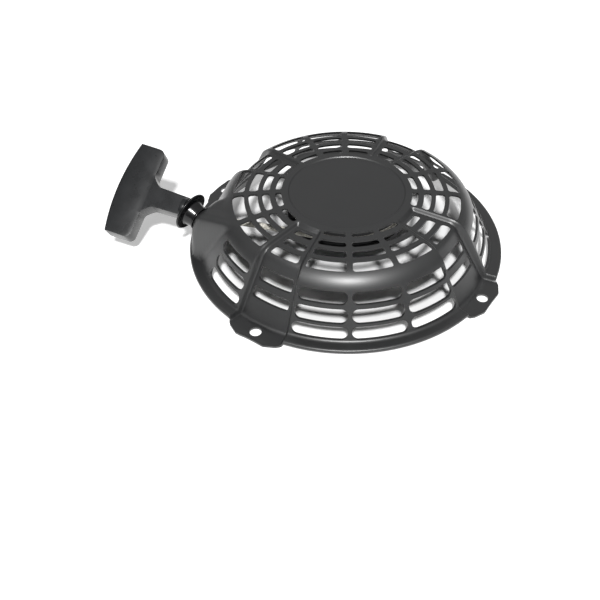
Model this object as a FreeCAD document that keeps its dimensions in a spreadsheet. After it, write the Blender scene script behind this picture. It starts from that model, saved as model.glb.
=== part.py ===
import FreeCAD, Part
import math
import os
import Sketcher

# Recoil starter of a small engine: a pressed and slotted steel case, with a rope reel, its
# recoil spring and two ratchet pawls inside, and a T-handle that pulls out of a rope guide.
# Millimetres, +Z up. The origin lies on the reel's axis, in the plane of the four lugs.
# Names that end in _level are heights above that plane, and _radius is measured from the axis.

SIZES = [
    # the pressed case
    ("gauge", 1.5, "sheet thickness of the case"),
    ("disc_radius", 41.3, "flat middle of the crown"),
    ("disc_level", 48.2, "top of the flat middle"),
    ("disc_step", 0.8, "width of the step round the flat middle"),
    ("crown_level", 49.05, "top of the crown beside that step"),
    ("shoulder_radius", 84.7, "corner between crown and wall, before its bend"),
    ("shoulder_level", 45.5, "height of that corner"),
    ("shoulder_bend", 11.0, "outer bend of the shoulder"),
    ("flange_width", 8.0, "rim flange, from the wall to the outer edge"),
    ("flange_level", 5.2, "top of the rim flange"),
    ("foot_bend", 2.5, "bend between wall and flange"),
    ("rim_radius", 115.0, "outer edge of the rim"),
    ("rim_bend", 1.6, "outer bend between flange and lip"),
    ("rim_bottom", 3.0, "lower edge of the rim's lip"),
    # the four channels that run down to the lugs
    ("channel_depth", 2.3, "depth of a channel in the crown"),
    ("channel_gap", 7.7, "from the flat middle to the inner end of a channel"),
    ("channel_width", 21.4, "angle between a channel's sides"),
    ("knee_inset", 4.2, "from the shoulder in to where a channel's floor turns down"),
    ("knee_bend", 9.0, "bend of the floor there"),
    ("toe_inset", 2.0, "from the wall's foot in to where a channel's floor meets its lug"),
    ("toe_bend", 3.0, "bend of the floor there"),
    # the lugs
    ("lug_stand", 4.8, "how far a lug stands out past the rim"),
    ("lug_tip", 30.4, "length of its straight outer edge"),
    ("lug_root", 43.6, "width of a lug at the rim"),
    ("lug_narrowing", 7.0, "length over which a lug narrows to that edge"),
    ("lug_corner", 2.5, "rounding of its corners"),
    ("bolt_inset", 2.5, "centres of the four holes, in from the rim"),
    ("bolt_hole", 8.0, "hole for an M6 screw, with play to centre the starter"),
    # slots
    ("web", 3.8, "metal between two slots of the crown"),
    ("wall_web", 2.8, "metal between two slots of the wall"),
    ("channel_margin", 3.4, "metal between a channel's side and its slots"),
    ("slot_corner", 1.4, "bevelled corners of the slots; one flat each, because they are so many"),
    ("wall_slot_bevel", 0.3, "the same on the round-ended slots of the wall, as a share of their height"),
    # the boss that the rope leaves by
    ("pull_azimuth", 194.7, "direction of the pull, in degrees from +X"),
    ("mouth_inset", 17.0, "rope hole, in from the rim along the pull"),
    ("slots_stop", 8.3, "angle past the pull that the wall's slots keep to"),
    ("slots_resume", 41.5, "angle past the pull where they start again"),
    ("mouth_level", 29.0, "height of the rope hole"),
    ("mouth_tilt", 18.0, "lean of the boss's face, in degrees"),
    ("boss_half_width", 13.5, "half the width of the boss at the rope hole"),
    ("boss_rise", 12.0, "top of the boss above the rope hole"),
    ("boss_depth", 46.0, "how far the boss runs into the case"),
    ("boss_spread", 10.0, "growth of the half width over that depth"),
    ("boss_climb", 5.0, "growth of the height over that depth"),
    ("boss_taper", 8.0, "lean of the sides of the boss, in degrees"),
    ("boss_corner", 7.0, "bend of its upright corners"),
    ("boss_bend", 5.0, "bend along its top edges"),
    ("boss_margin", 2.4, "the boss stays this far inside the rim"),
    # the rope guide
    ("guide_shank", 7.5, "radius of the guide where it passes the boss"),
    ("guide_cone", 9.3, "largest radius of its cone"),
    ("guide_lip", 15.4, "radius of its lip"),
    ("guide_length", 8.2, "from the boss to the middle of the lip"),
    ("guide_throat", 5.0, "radius of the rope's way through"),
    ("clip_radius", 8.8, "outer radius of the clip that holds the guide"),
    ("clip_seat", 2.4, "from the boss's face to that clip"),
    ("clip_gauge", 1.1, "its thickness"),
    # rope
    ("rope", 4.5, "diameter of the rope"),
    ("pull_offset", 38.5, "radius at which the rope leaves the reel"),
    ("rope_leave_level", 34.2, "height at which it leaves"),
    ("rope_leave", 19.5, "where its straight run starts, along the pull"),
    ("rope_bend", 25.0, "bend of the rope in the guide's throat"),
    # post and the pieces held on it
    ("post_radius", 7.0, "bearing of the reel"),
    ("post_flange", 14.0, "radius of the post's flange, welded under the crown"),
    ("post_end_level", 8.5, "lower end of the post"),
    ("fit", 0.05, "radial clearance of a running fit"),
    ("clearance", 0.3, "gap between pieces that run past each other"),
    ("screw_radius", 3.0, "centre screw, M6"),
    ("screw_head", 5.0, "half the width across the screw's flats"),
    ("screw_head_height", 4.0, "height of that head"),
    ("washer_radius", 12.5, "washer on the centre screw"),
    ("washer_gauge", 1.5, "its thickness"),
    # reel
    ("flange_radius", 42.5, "flanges of the reel"),
    ("reel_flange", 2.2, "thickness of a flange"),
    ("groove_level", 30.2, "bottom of the rope groove"),
    ("groove_width", 11.0, "width of the rope groove"),
    ("groove_radius", 28.5, "bottom of the rope groove, from the axis"),
    ("pocket_radius", 25.0, "spring pocket in the top of the reel"),
    ("pocket_level", 31.7, "floor of that pocket"),
    ("carrier_radius", 27.0, "underside that carries the pawls"),
    ("carrier_level", 22.0, "its height"),
    ("hub_radius", 10.5, "hub of the reel"),
    ("hub_level", 15.2, "lower end of the hub"),
    ("bush_wall", 1.2, "wall of the bush in the hub"),
    ("cover_gauge", 0.8, "thickness of the spring cover"),
    ("cover_radius", 27.0, "radius of the spring cover"),
    # recoil spring
    ("strip", 0.6, "thickness of the spring strip"),
    ("strip_height", 10.0, "height of the strip"),
    ("strip_pitch", 4.4, "distance between two turns"),
    ("strip_turns", 3, "number of turns"),
    # ratchet
    ("pivot_radius", 19.0, "pivots of the pawls, from the axis"),
    ("pin_radius", 2.5, "pivot pins"),
    ("pin_head", 3.7, "radius of their heads"),
    ("pin_depth", 4.8, "how deep a pin sits in the reel"),
    ("pawl_gauge", 3.8, "thickness of a pawl"),
    ("pawl_level", 16.8, "underside of a pawl"),
    ("pawl_hub", 4.2, "radius of a pawl round its pivot"),
    ("pawl_length", 15.5, "from a pawl's pivot to its tip"),
    ("pawl_rest", -110.0, "direction of a pawl at rest, from its radius"),
    ("pawl_swing", 40.0, "swing of a pawl, in degrees"),
    ("peg_radius", 1.8, "peg under a pawl"),
    ("peg_arm", 7.0, "from the pivot to the peg"),
    ("plate_radius", 26.0, "ratchet guide plate"),
    ("plate_gauge", 1.5, "its thickness"),
    ("plate_level", 13.4, "its underside"),
    ("plate_turn", 30.0, "turn of the plate against the reel, in degrees"),
    # handle
    ("handle_rise", 7.5, "lift of the pull above the horizontal, in degrees"),
    ("handle_roll", 33.3, "roll of the handle about the pull, in degrees"),
    ("handle_gap", 3.1, "from the middle of the guide's lip to the stem"),
    ("grip_inner", 33.1, "inner edge of the grip, from the same place"),
    ("grip_outer", 50.7, "outer corners of the grip"),
    ("grip_bow", 4.2, "rise of its curved outer edge"),
    ("grip_length", 69.0, "length of the grip"),
    ("grip_thick", 16.2, "thickness of the handle"),
    ("grip_round", 3.4, "rounding of the handle's inner edges"),
    ("grip_edge", 1.2, "rounding of its outer edges"),
    ("stem_tip", 14.0, "width of the stem at the guide"),
    ("stem_root", 15.6, "width of the stem at the grip"),
    ("stem_corner", 7.0, "inside corner between stem and grip"),
    ("collar_radius", 8.4, "collar at the end of the stem"),
    ("collar_length", 3.4, "its length"),
    ("knot_room", 6.6, "radius of the room for the knot"),
    ("knot_seat", 40.8, "floor of that room"),
    ("knot_radius", 4.2, "radius of a knot"),
    ("plug_gauge", 2.5, "thickness of the plug that closes the room"),
]

# Sizes that follow from those in the sheet. Each may use the ones above it.
DERIVED = {
    "foot_radius": "({rim_radius} - {flange_width})",
    "knee_radius": "({shoulder_radius} - {knee_inset})",
    "toe_radius": "({foot_radius} - {toe_inset})",
    "channel_start": "({disc_radius} + {channel_gap})",
    "lug_reach": "({rim_radius} + {lug_stand})",
    "lug_root_reach": "({lug_reach} - {lug_narrowing})",
    "bolt_radius": "({rim_radius} - {bolt_inset})",
    "mouth_reach": "({rim_radius} - {mouth_inset})",
    "boss_limit": "({rim_radius} - {boss_margin})",
}

# Rows of slots. On the crown and in the channels: distances in from the shoulder's corner.
# On the wall and down the channels: heights above the rim flange.
CROWN_ROWS = [(37.9, 33.5), (29.5, 24.2), (21.0, 14.5), (11.3, 3.0)]
CHANNEL_ROWS = [(32.7, 27.4), (22.7, 16.2), (12.2, 5.2)]
WALL_ROWS = [(22.2, 30.2), (10.7, 19.7), (1.2, 9.1)]
CHANNEL_WALL_ROWS = [(20.2, 28.8), (9.4, 16.2)]
SECTORS = 16
CHANNELS = 4

doc = FreeCAD.newDocument("recoil_starter")
sheet = doc.addObject("Spreadsheet::Sheet", "sizes")
for row, (alias, number, note) in enumerate(SIZES, start=1):
    sheet.set(f"A{row}", alias)
    sheet.set(f"B{row}", str(number))
    sheet.set(f"C{row}", note)
    sheet.setAlias(f"B{row}", alias)
doc.recompute()


# ---- reading the sheet ----


def formula(text):
    """Turns names in braces, such as {gauge}, into references to the sheet's cells."""
    for name, meaning in reversed(DERIVED.items()):
        text = text.replace("{" + name + "}", meaning)
    for alias, number, note in SIZES:
        text = text.replace("{" + alias + "}", "sizes." + alias)
    return text


def value(text):
    return float(sheet.evalExpression(formula(text)))


# ---- sketches ----


def new_body(label):
    body = doc.addObject("PartDesign::Body", label)
    body.Label = label
    body.AllowCompound = True
    return body


def new_sketch(body, role="XZ_Plane", lift=None):
    """A sketch on one of the body's own planes, lifted along that plane's normal."""
    sketch = body.newObject("Sketcher::SketchObject", body.Name + "_outline")
    support = next(item for item in body.Origin.OriginFeatures if item.Role == role)
    sketch.AttachmentSupport = [(support, "")]
    sketch.MapMode = "FlatFace"
    if lift:
        sketch.setExpression("AttachmentOffset.Base.z", formula(lift))
    return sketch


def bind(sketch, constraint, text):
    sketch.setExpression(f"Constraints[{sketch.addConstraint(constraint)}]", formula(text))


def place_along(sketch, kind, item, end, text):
    """Ties one end of an item to a formula, or to an axis where the formula is 0."""
    if text == "0":
        axis = -2 if kind == "DistanceX" else -1
        sketch.addConstraint(Sketcher.Constraint("PointOnObject", item, end, axis))
    else:
        bind(sketch, Sketcher.Constraint(kind, -1, 1, item, end, value(text)), text)


def place_point(sketch, item, end, across, up):
    place_along(sketch, "DistanceX", item, end, across)
    place_along(sketch, "DistanceY", item, end, up)


def point(across, up):
    return FreeCAD.Vector(value(across), value(up), 0)


def corner_mark(sketch, spot):
    return sketch.addGeometry(Part.Point(spot), True)


def closed_outline(sketch, spots, marks, bends):
    """Lines from mark to mark, with an arc of the given radius at each corner named in bends."""
    count = len(spots)
    ways = [(spots[(k + 1) % count] - spots[k]).normalize() for k in range(count)]
    ends = []
    for k, spot in enumerate(spots):
        before, after = ways[k - 1], ways[k]
        reach = value(bends[k]) * math.tan(before.getAngle(after) / 2) if k in bends else 0
        ends.append((spot - before * reach, spot + after * reach))
    first = sketch.GeometryCount
    sides = [Part.LineSegment(ends[k][1], ends[(k + 1) % count][0]) for k in range(count)]
    sketch.addGeometry(sides, False)
    for k in range(count):
        side, last = first + k, first + (k - 1) % count
        if k not in bends:
            sketch.addConstraint(Sketcher.Constraint("Coincident", last, 2, side, 1))
            sketch.addConstraint(Sketcher.Constraint("Coincident", side, 1, marks[k], 1))
            continue
        left = ways[k - 1].cross(ways[k]).z > 0
        inward = FreeCAD.Vector(-ways[k].y, ways[k].x, 0) * (1 if left else -1)
        centre = ends[k][1] + inward * value(bends[k])
        near, far = ends[k] if left else ends[k][::-1]
        angles = [math.atan2(spot.y - centre.y, spot.x - centre.x) for spot in (near, far)]
        if angles[1] < angles[0]:
            angles[1] += 2 * math.pi
        ring = Part.Circle(centre, FreeCAD.Vector(0, 0, 1), value(bends[k]))
        arc = sketch.addGeometry(Part.ArcOfCircle(ring, *angles), False)
        start, end = (1, 2) if left else (2, 1)
        sketch.addConstraint(Sketcher.Constraint("Tangent", last, 2, arc, start))
        sketch.addConstraint(Sketcher.Constraint("Tangent", arc, end, side, 1))
        bind(sketch, Sketcher.Constraint("Radius", arc, value(bends[k])), bends[k])
        for line in (last, side):
            sketch.addConstraint(Sketcher.Constraint("PointOnObject", marks[k], 1, line))


def polygon(sketch, corners, bends=None):
    spots = [point(*corner) for corner in corners]
    marks = []
    for spot, corner in zip(spots, corners):
        marks.append(corner_mark(sketch, spot))
        place_point(sketch, marks[-1], 1, *corner)
    closed_outline(sketch, spots, marks, bends or {})


def circle(sketch, across, up, radius):
    ring = Part.Circle(point(across, up), FreeCAD.Vector(0, 0, 1), value(radius))
    item = sketch.addGeometry(ring, False)
    place_point(sketch, item, 3, across, up)
    bind(sketch, Sketcher.Constraint("Radius", item, value(radius)), radius)


def inset_chain(points, depth):
    """Corners of an open chain of lines after each line has moved to its right by depth."""
    moved = []
    for index, corner in enumerate(points):
        before = points[index] - points[index - 1] if index else points[1] - points[0]
        after = points[index + 1] - corner if index + 1 < len(points) else before
        normals = [FreeCAD.Vector(way.y, -way.x, 0).normalize() for way in (before, after)]
        mitre = normals[0] + normals[1]
        moved.append(corner + mitre * (2 * depth / mitre.dot(mitre)))
    return moved


def inset_polygon(sketch, chain, depth, bends):
    """An outline one sheet thickness inside a chain of lines that starts on the axis.

    The chain's last line goes straight down, and the outline closes below it, on the axis.
    """
    points = [point(*corner) for corner in chain]
    guide = sketch.GeometryCount
    sketch.addGeometry([Part.LineSegment(a, b) for a, b in zip(points, points[1:])], True)
    for side, corner in enumerate(chain[:-1]):
        place_point(sketch, guide + side, 1, *corner)
        place_point(sketch, guide + side, 2, *chain[side + 1])
    spots = inset_chain(points, value(depth))
    spots[0].x = 0
    marks = []
    for index, spot in enumerate(spots):
        marks.append(corner_mark(sketch, spot))
        for line in (index - 1, index):
            if 0 <= line < len(chain) - 1:
                gap = Sketcher.Constraint("Distance", marks[-1], 1, guide + line, value(depth))
                bind(sketch, gap, depth)
    place_along(sketch, "DistanceX", marks[0], 1, "0")
    place_along(sketch, "DistanceY", marks[-1], 1, chain[-1][1])
    spots.append(FreeCAD.Vector(0, points[-1].y, 0))
    marks.append(corner_mark(sketch, spots[-1]))
    place_point(sketch, marks[-1], 1, "0", chain[-1][1])
    closed_outline(sketch, spots, marks, bends)


# ---- features ----


def feature(body, kind, sketch, **settings):
    item = body.newObject("PartDesign::" + kind, body.Name + "_" + kind.lower())
    item.Profile = sketch
    for name, setting in settings.items():
        setattr(item, name, setting)
    doc.recompute()
    return item


def revolve(body, sketch, kind="Revolution", angle=360):
    return feature(body, kind, sketch, ReferenceAxis=(sketch, ["V_Axis"]), Angle=angle, Midplane=angle < 360)


def pad(body, sketch, length, **settings):
    item = feature(body, "Pad", sketch, **settings)
    item.setExpression("Length", formula(length))
    doc.recompute()
    return item


def pocket(body, sketch, length=None, upward=False, **settings):
    item = feature(body, "Pocket", sketch, Reversed=upward, **settings)
    if length:
        item.setExpression("Length", formula(length))
    else:
        item.Type = "ThroughAll"
    doc.recompute()
    return item


def around(body, item, count):
    pattern = body.newObject("PartDesign::PolarPattern", item.Name + "_copies")
    pattern.Originals = [item]
    pattern.Axis = (item.Profile[0], ["N_Axis" if item.TypeId != "PartDesign::Groove" else "V_Axis"])
    pattern.Angle = 360
    pattern.Occurrences = count
    body.Tip = pattern
    doc.recompute()
    return pattern


def fillet(body, base, edges, radius):
    item = body.newObject("PartDesign::Fillet", body.Name + "_bend")
    item.Base = (base, edges)
    item.setExpression("Radius", formula(radius))
    body.Tip = item
    doc.recompute()
    return item


def boolean(body, kind, others):
    item = body.newObject("PartDesign::Boolean", body.Name + "_" + kind.lower())
    item.Type = kind
    item.addObjects(others)
    body.Tip = item
    doc.recompute()
    return item


def edges_where(item, test):
    return [f"Edge{index}" for index, edge in enumerate(item.Shape.Edges, start=1) if test(edge)]


def turned(label, corners):
    """A body turned about the Z axis from a closed outline of radius and level."""
    body = new_body(label)
    sketch = new_sketch(body)
    polygon(sketch, corners)
    revolve(body, sketch)
    return body


def drum(label, inner, outer, bottom, top):
    """A plain ring or, where the inner radius is 0, a disc."""
    return turned(label, [(inner, bottom), (outer, bottom), (outer, top), (inner, top)])


# ---- places ----


def pull_place(along, up, tilt=0, roll=0, turn=0):
    """A place on the pull's line, with X along the pull after a lean and a roll about it.

    A turn of 90 degrees points Z along the pull instead, for a piece turned about Z.
    """
    spin = FreeCAD.Rotation(FreeCAD.Vector(0, 0, 1), value("{pull_azimuth}"))
    lean = FreeCAD.Rotation(FreeCAD.Vector(0, 1, 0), -tilt)
    twist = FreeCAD.Rotation(FreeCAD.Vector(1, 0, 0), roll)
    swing = FreeCAD.Rotation(FreeCAD.Vector(0, 1, 0), turn)
    centre = spin.multVec(FreeCAD.Vector(along, value("{pull_offset}"), up))
    return FreeCAD.Placement(centre, spin * lean * twist * swing)


def polar_place(radius, azimuth, level, turn=0):
    angle = math.radians(azimuth)
    base = FreeCAD.Vector(radius * math.cos(angle), radius * math.sin(angle), level)
    return FreeCAD.Placement(base, FreeCAD.Rotation(FreeCAD.Vector(0, 0, 1), azimuth + turn))


# ---- starter_case: the pressed case ----

CROWN = [
    ("0", "{disc_level}"),
    ("{disc_radius}", "{disc_level}"),
    ("{disc_radius} + {disc_step}", "{crown_level}"),
    ("{shoulder_radius}", "{shoulder_level}"),
    ("{foot_radius}", "{flange_level}"),
    ("{rim_radius}", "{flange_level}"),
    ("{rim_radius}", "0"),
]


def dome():
    body = new_body("case_outside")
    sketch = new_sketch(body)
    polygon(sketch, CROWN + [("0", "0")], {3: "{shoulder_bend}", 4: "{foot_bend}", 5: "{rim_bend}"})
    revolve(body, sketch)
    return body


def hollow():
    body = new_body("case_inside")
    sketch = new_sketch(body)
    bends = {3: "{shoulder_bend} - {gauge}", 4: "{foot_bend} + {gauge}"}
    inset_polygon(sketch, CROWN, "{gauge}", bends)
    revolve(body, sketch)
    return body


def channel_floor():
    """Floor of a channel: along the crown, down the wall and out over the lug."""
    slope = "({crown_level} - {shoulder_level}) / ({shoulder_radius} - {disc_radius} - {disc_step})"
    level = "{crown_level} - {channel_depth} + ({disc_radius} + {disc_step}) * " + slope
    return [
        ("0", level),
        ("{knee_radius}", level + " - {knee_radius} * " + slope),
        ("{toe_radius}", "{gauge}"),
        ("{rim_radius} + 20", "{gauge}"),
        ("{rim_radius} + 20", "-10"),
    ]


def channel_tool(label, depth):
    """What is pressed down between the sides of the four channels, or one sheet further."""
    body = new_body(label)
    plan = new_sketch(body, "XY_Plane")
    half = "{channel_width} / 2"
    inner = "({channel_start} - " + depth + ")"
    outer = "({rim_radius} + 15)"
    shift = f"{depth} / cos({half})"
    polygon(
        plan,
        [
            (inner, f"-{inner} * tan({half}) - {shift}"),
            (outer, f"-{outer} * tan({half}) - {shift}"),
            (outer, f"{outer} * tan({half}) + {shift}"),
            (inner, f"{inner} * tan({half}) + {shift}"),
        ],
    )
    around(body, pad(body, plan, "{crown_level} + 10"), CHANNELS)
    sketch = new_sketch(body)
    bends = {1: "{knee_bend} - " + depth, 2: "{toe_bend} + " + depth}
    if depth == "0":
        polygon(sketch, channel_floor() + [("0", "-10")], bends)
    else:
        inset_polygon(sketch, channel_floor(), depth, bends)
    revolve(body, sketch, "Groove")
    return body


def boss_form(label, depth):
    """The bulge for the rope hole, or its inner side one sheet further in."""
    body = new_body(label)
    plan = new_sketch(body, "XY_Plane")
    spread = "{boss_spread} / {boss_depth}"
    shift = f"{depth} / (cos({{boss_taper}}) * cos(atan({spread})))"
    half = "{boss_half_width} + {mouth_level} * tan({boss_taper}) - " + shift
    toe = "{mouth_level} * tan({mouth_tilt})"
    front, back = "{mouth_reach} + " + toe, "{mouth_reach} - {boss_depth}"
    narrow, wide = f"{half} - {spread} * {toe}", half + " + {boss_spread}"
    corners = [(back, wide, -1), (front, narrow, -1), (front, narrow, 1), (back, wide, 1)]
    polygon(plan, [(x, f"{{pull_offset}} + {side} * ({y})") for x, y, side in corners])
    item = pad(body, plan, "{crown_level}")
    item.setExpression("TaperAngle", formula("-{boss_taper}"))
    profile = new_sketch(body)
    lean = f"{depth} / cos({{mouth_tilt}})"
    high = "{mouth_level} + {boss_rise} - " + depth
    polygon(
        profile,
        [
            ("{mouth_reach} + " + toe + " - " + lean, "0"),
            ("{mouth_reach} - {boss_rise} * tan({mouth_tilt}) - " + lean, high),
            (back + " - 1", high + " + {boss_climb}"),
            (back + " - 1", "{crown_level} + 1"),
            (front + " + 1", "{crown_level} + 1"),
            (front + " + 1", "0"),
        ],
    )
    item = pocket(body, profile, Midplane=True)
    item = fillet(body, item, edges_where(item, leaning), "{boss_corner} - " + depth)
    item = fillet(body, item, edges_where(item, topmost), "{boss_bend} - " + depth)
    trim = new_sketch(body, "XY_Plane")
    circle(trim, "0", "0", "{boss_limit} - " + depth)
    circle(trim, "0", "0", "{rim_radius} + 100")
    pocket(body, trim, upward=True)
    body.Placement = FreeCAD.Placement(
        FreeCAD.Vector(), FreeCAD.Rotation(FreeCAD.Vector(0, 0, 1), value("{pull_azimuth}"))
    )
    doc.recompute()
    return body


def leaning(edge):
    """True for the two upright edges of the boss's face."""
    box = edge.BoundBox
    return box.ZLength > 10 and box.XMax > value("{mouth_reach}") - 8 and box.XLength > 1


def topmost(edge):
    """True for the edges round the top of the boss, but not its far end."""
    box = edge.BoundBox
    high = value("{mouth_level} + {boss_rise}") - 2
    far = value("{mouth_reach} - {boss_depth}") + 1
    return box.ZMin > high and box.XMax > far


def pressed_sheet():
    """The whole sheet before its slots and holes are punched."""
    inside = hollow()
    boolean(inside, "Fuse", [boss_form("boss_inside", "{gauge}")])
    boolean(inside, "Cut", [channel_tool("channel_inside", "{gauge}")])
    body = dome()
    boolean(body, "Fuse", [boss_form("boss_outside", "0")])
    boolean(body, "Cut", [channel_tool("channel_outside", "0")])
    boolean(body, "Cut", [inside])
    raise_rim(body)
    add_lugs(body)
    return body


def raise_rim(body):
    """Lifts the lip off the lugs' level everywhere between the channels' walls."""
    plan = new_sketch(body, "XY_Plane")
    start, half = 360 / CHANNELS / 2, value("{channel_width}") / 2
    near = f"{{gauge}} / sin({start} - {{channel_width}} / 2)"
    corners = [(f"{near} * cos({start})", f"{near} * sin({start})")]
    for angle in ("{channel_width} / 2", f"{2 * start} - {{channel_width}} / 2"):
        away = [f"{near} * {way}({start}) + 2 * {{rim_radius}} * {way}({angle})" for way in ("cos", "sin")]
        corners.append(tuple(away))
    polygon(plan, corners)
    around(body, pocket(body, plan, "{rim_bottom}", upward=True), CHANNELS)


def add_lugs(body):
    plan = new_sketch(body, "XY_Plane")
    inner = "{rim_radius} - 7"
    polygon(
        plan,
        [
            (inner, "-{lug_root} / 2"),
            ("{lug_root_reach}", "-{lug_root} / 2"),
            ("{lug_reach}", "-{lug_tip} / 2"),
            ("{lug_reach}", "{lug_tip} / 2"),
            ("{lug_root_reach}", "{lug_root} / 2"),
            (inner, "{lug_root} / 2"),
        ],
    )
    around(body, pad(body, plan, "{gauge}"), CHANNELS)
    fillet(body, body.Tip, edges_where(body.Tip, lug_tip_corner), "{lug_corner}")
    holes = new_sketch(body, "XY_Plane")
    circle(holes, "{bolt_radius}", "0", "{bolt_hole} / 2")
    around(body, pocket(body, holes, "{gauge} + 1", upward=True), CHANNELS)


def lug_tip_corner(edge):
    """True for the upright edges at the outer corners of the lugs."""
    if len(edge.Vertexes) != 2:
        return False
    low, high = edge.Vertexes[0].Point, edge.Vertexes[1].Point
    upright = math.hypot(low.x - high.x, low.y - high.y) < 1e-6
    return upright and abs(math.hypot(low.x, low.y) - value("sqrt({lug_reach}^2 + ({lug_tip} / 2)^2)")) < 0.01


def wall_radius(level):
    """Radius of the case's wall at this level."""
    run = value("({foot_radius} - {shoulder_radius}) / ({shoulder_level} - {flange_level})")
    return value("{foot_radius}") - run * (level - value("{flange_level}"))


def floor_radius(level):
    """Radius of a channel's floor at this level."""
    knee, toe = (point(*corner) for corner in channel_floor()[1:3])
    return toe.x - (toe.x - knee.x) * (level - toe.y) / (knee.y - toe.y)


def mouth_place():
    """The rope hole, with Z out along the pull."""
    return pull_place(value("{mouth_reach}"), value("{mouth_level}"), value("{mouth_tilt}"), turn=90)


def prism(corners, axis, length):
    """A solid from a closed outline, drawn along an axis."""
    outline = Part.makePolygon(corners + corners[:1])
    return Part.Face(outline).extrude(axis * length)


def crown_slot(azimuth, half_angle, margin, row):
    """Punch for one curved slot, with sides parallel to those of its sector."""
    arcs = []
    for radius in row:
        half = half_angle - math.degrees(math.asin(margin / radius))
        arcs.append([polar_place(radius, azimuth + turn, 0).Base for turn in (-half, 0, half)])
    inner, outer = arcs
    wire = Part.Wire(
        [
            Part.Arc(*inner).toShape(),
            Part.LineSegment(inner[2], outer[2]).toShape(),
            Part.Arc(*outer[::-1]).toShape(),
            Part.LineSegment(outer[0], inner[0]).toShape(),
        ]
    )
    bottom, top = value("{shoulder_level} - {shoulder_bend}"), value("{crown_level}") + 1
    wire.translate(FreeCAD.Vector(0, 0, bottom))
    punch = Part.Face(wire).extrude(FreeCAD.Vector(0, 0, top - bottom))
    upright = [edge for edge in punch.Edges if edge.BoundBox.ZLength > (top - bottom) / 2]
    return punch.makeChamfer(value("{slot_corner}"), upright)


def wall_slot(azimuth, radius, left, right, row, corner):
    """Punch for one slot of the wall, driven in level and straight at the axis."""
    low, high = row
    depth = value("2 * {shoulder_bend}")
    box = Part.makeBox(depth, right - left, high - low, FreeCAD.Vector(radius - depth / 2, left, low))
    along = [edge for edge in box.Edges if edge.BoundBox.XLength > depth / 2]
    punch = box.makeChamfer(corner, along)
    punch.Placement = polar_place(0, azimuth, 0)
    return punch


def slot_punches():
    sector = 360 / SECTORS
    crown_margin, wall_margin = value("{web} / 2"), value("{wall_web} / 2")
    channel_half, channel_margin = value("{channel_width} / 2"), value("{channel_margin}")
    corner = value("{slot_corner}")
    stop, resume = value("{pull_azimuth} + {slots_stop}"), value("{pull_azimuth} + {slots_resume}")
    shoulder, flange = value("{shoulder_radius}"), value("{flange_level}")
    punches = []
    for index in range(SECTORS):
        azimuth = index * sector
        if index % (SECTORS // CHANNELS) == 0:
            for row in CHANNEL_ROWS:
                radii = [shoulder - distance for distance in row]
                punches.append(crown_slot(azimuth, channel_half, channel_margin, radii))
            for row in CHANNEL_WALL_ROWS:
                levels = [flange + height for height in row]
                radius = floor_radius(sum(levels) / 2)
                half = radius * math.tan(math.radians(channel_half)) - channel_margin
                punches.append(wall_slot(azimuth, radius, -half, half, levels, corner))
            continue
        for row in CROWN_ROWS:
            radii = [shoulder - distance for distance in row]
            punches.append(crown_slot(azimuth, sector / 2, crown_margin, radii))
        if stop < azimuth < resume:
            continue
        for row in WALL_ROWS:
            levels = [flange + height for height in row]
            radius = wall_radius(sum(levels) / 2)
            half = radius * math.sin(math.radians(sector / 2)) - wall_margin
            right = half
            if abs(azimuth - stop) < sector / 2:
                right = radius * math.tan(math.radians(stop - azimuth))
            bevel = value("{wall_slot_bevel}") * (row[1] - row[0])
            punches.append(wall_slot(azimuth, radius, -half, right, levels, bevel))
    reach = value("{boss_depth}")
    guide_hole = Part.makeCylinder(value("{guide_shank} + {fit}"), reach, FreeCAD.Vector(0, 0, -reach / 2))
    guide_hole.Placement = mouth_place()
    return punches + [guide_hole]


sheet_body = pressed_sheet()
punches = doc.addObject("Part::Feature", "case_punches")
punches.Shape = Part.makeCompound(slot_punches())
starter_case = doc.addObject("Part::Cut", "starter_case")
starter_case.Base = sheet_body
starter_case.Tool = punches
doc.recompute()


# ---- reel_post: the post that the reel turns on ----

CROWN_UNDER = "{disc_level} - {gauge}"
HOOK_LEVEL = "{pocket_level} + {clearance}"

post_body = turned(
    "reel_post_turned",
    [
        ("0", CROWN_UNDER),
        ("{post_flange}", CROWN_UNDER),
        ("{post_flange}", CROWN_UNDER + " - {gauge}"),
        ("{post_radius}", CROWN_UNDER + " - {gauge}"),
        ("{post_radius}", "{post_end_level}"),
        ("{screw_radius}", "{post_end_level}"),
        ("{screw_radius}", "{post_end_level} + 18"),
        ("0", "{post_end_level} + 18"),
    ],
)


def cut_slot(label, base, reach, start, low, high):
    """A part with a narrow radial slot for one end of the recoil spring, along +X."""
    width = "{strip} + 2 * {clearance}"
    slot = doc.addObject("Part::Box", label + "_slot")
    slot.setExpression("Length", formula(reach))
    slot.setExpression("Width", formula(width))
    slot.setExpression("Height", formula(f"({high}) - ({low})"))
    slot.Placement.Base = FreeCAD.Vector(value(start), -value(width) / 2, value(low))
    part = doc.addObject("Part::Cut", label)
    part.Base = base
    part.Tool = slot
    doc.recompute()
    return part


reel_post = cut_slot(
    "reel_post",
    post_body,
    "{post_radius} * 2 + 2",
    "-{post_radius} - 1",
    HOOK_LEVEL,
    HOOK_LEVEL + " + {strip_height} + 1",
)


# ---- reel: the rope reel, with its bush and the cover of its spring pocket ----

REEL_TOP = "{groove_level} + {groove_width} + {reel_flange}"
BUSH_INNER = "{post_radius} + {fit}"
BUSH_OUTER = "{post_radius} + {fit} + {bush_wall}"

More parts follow.
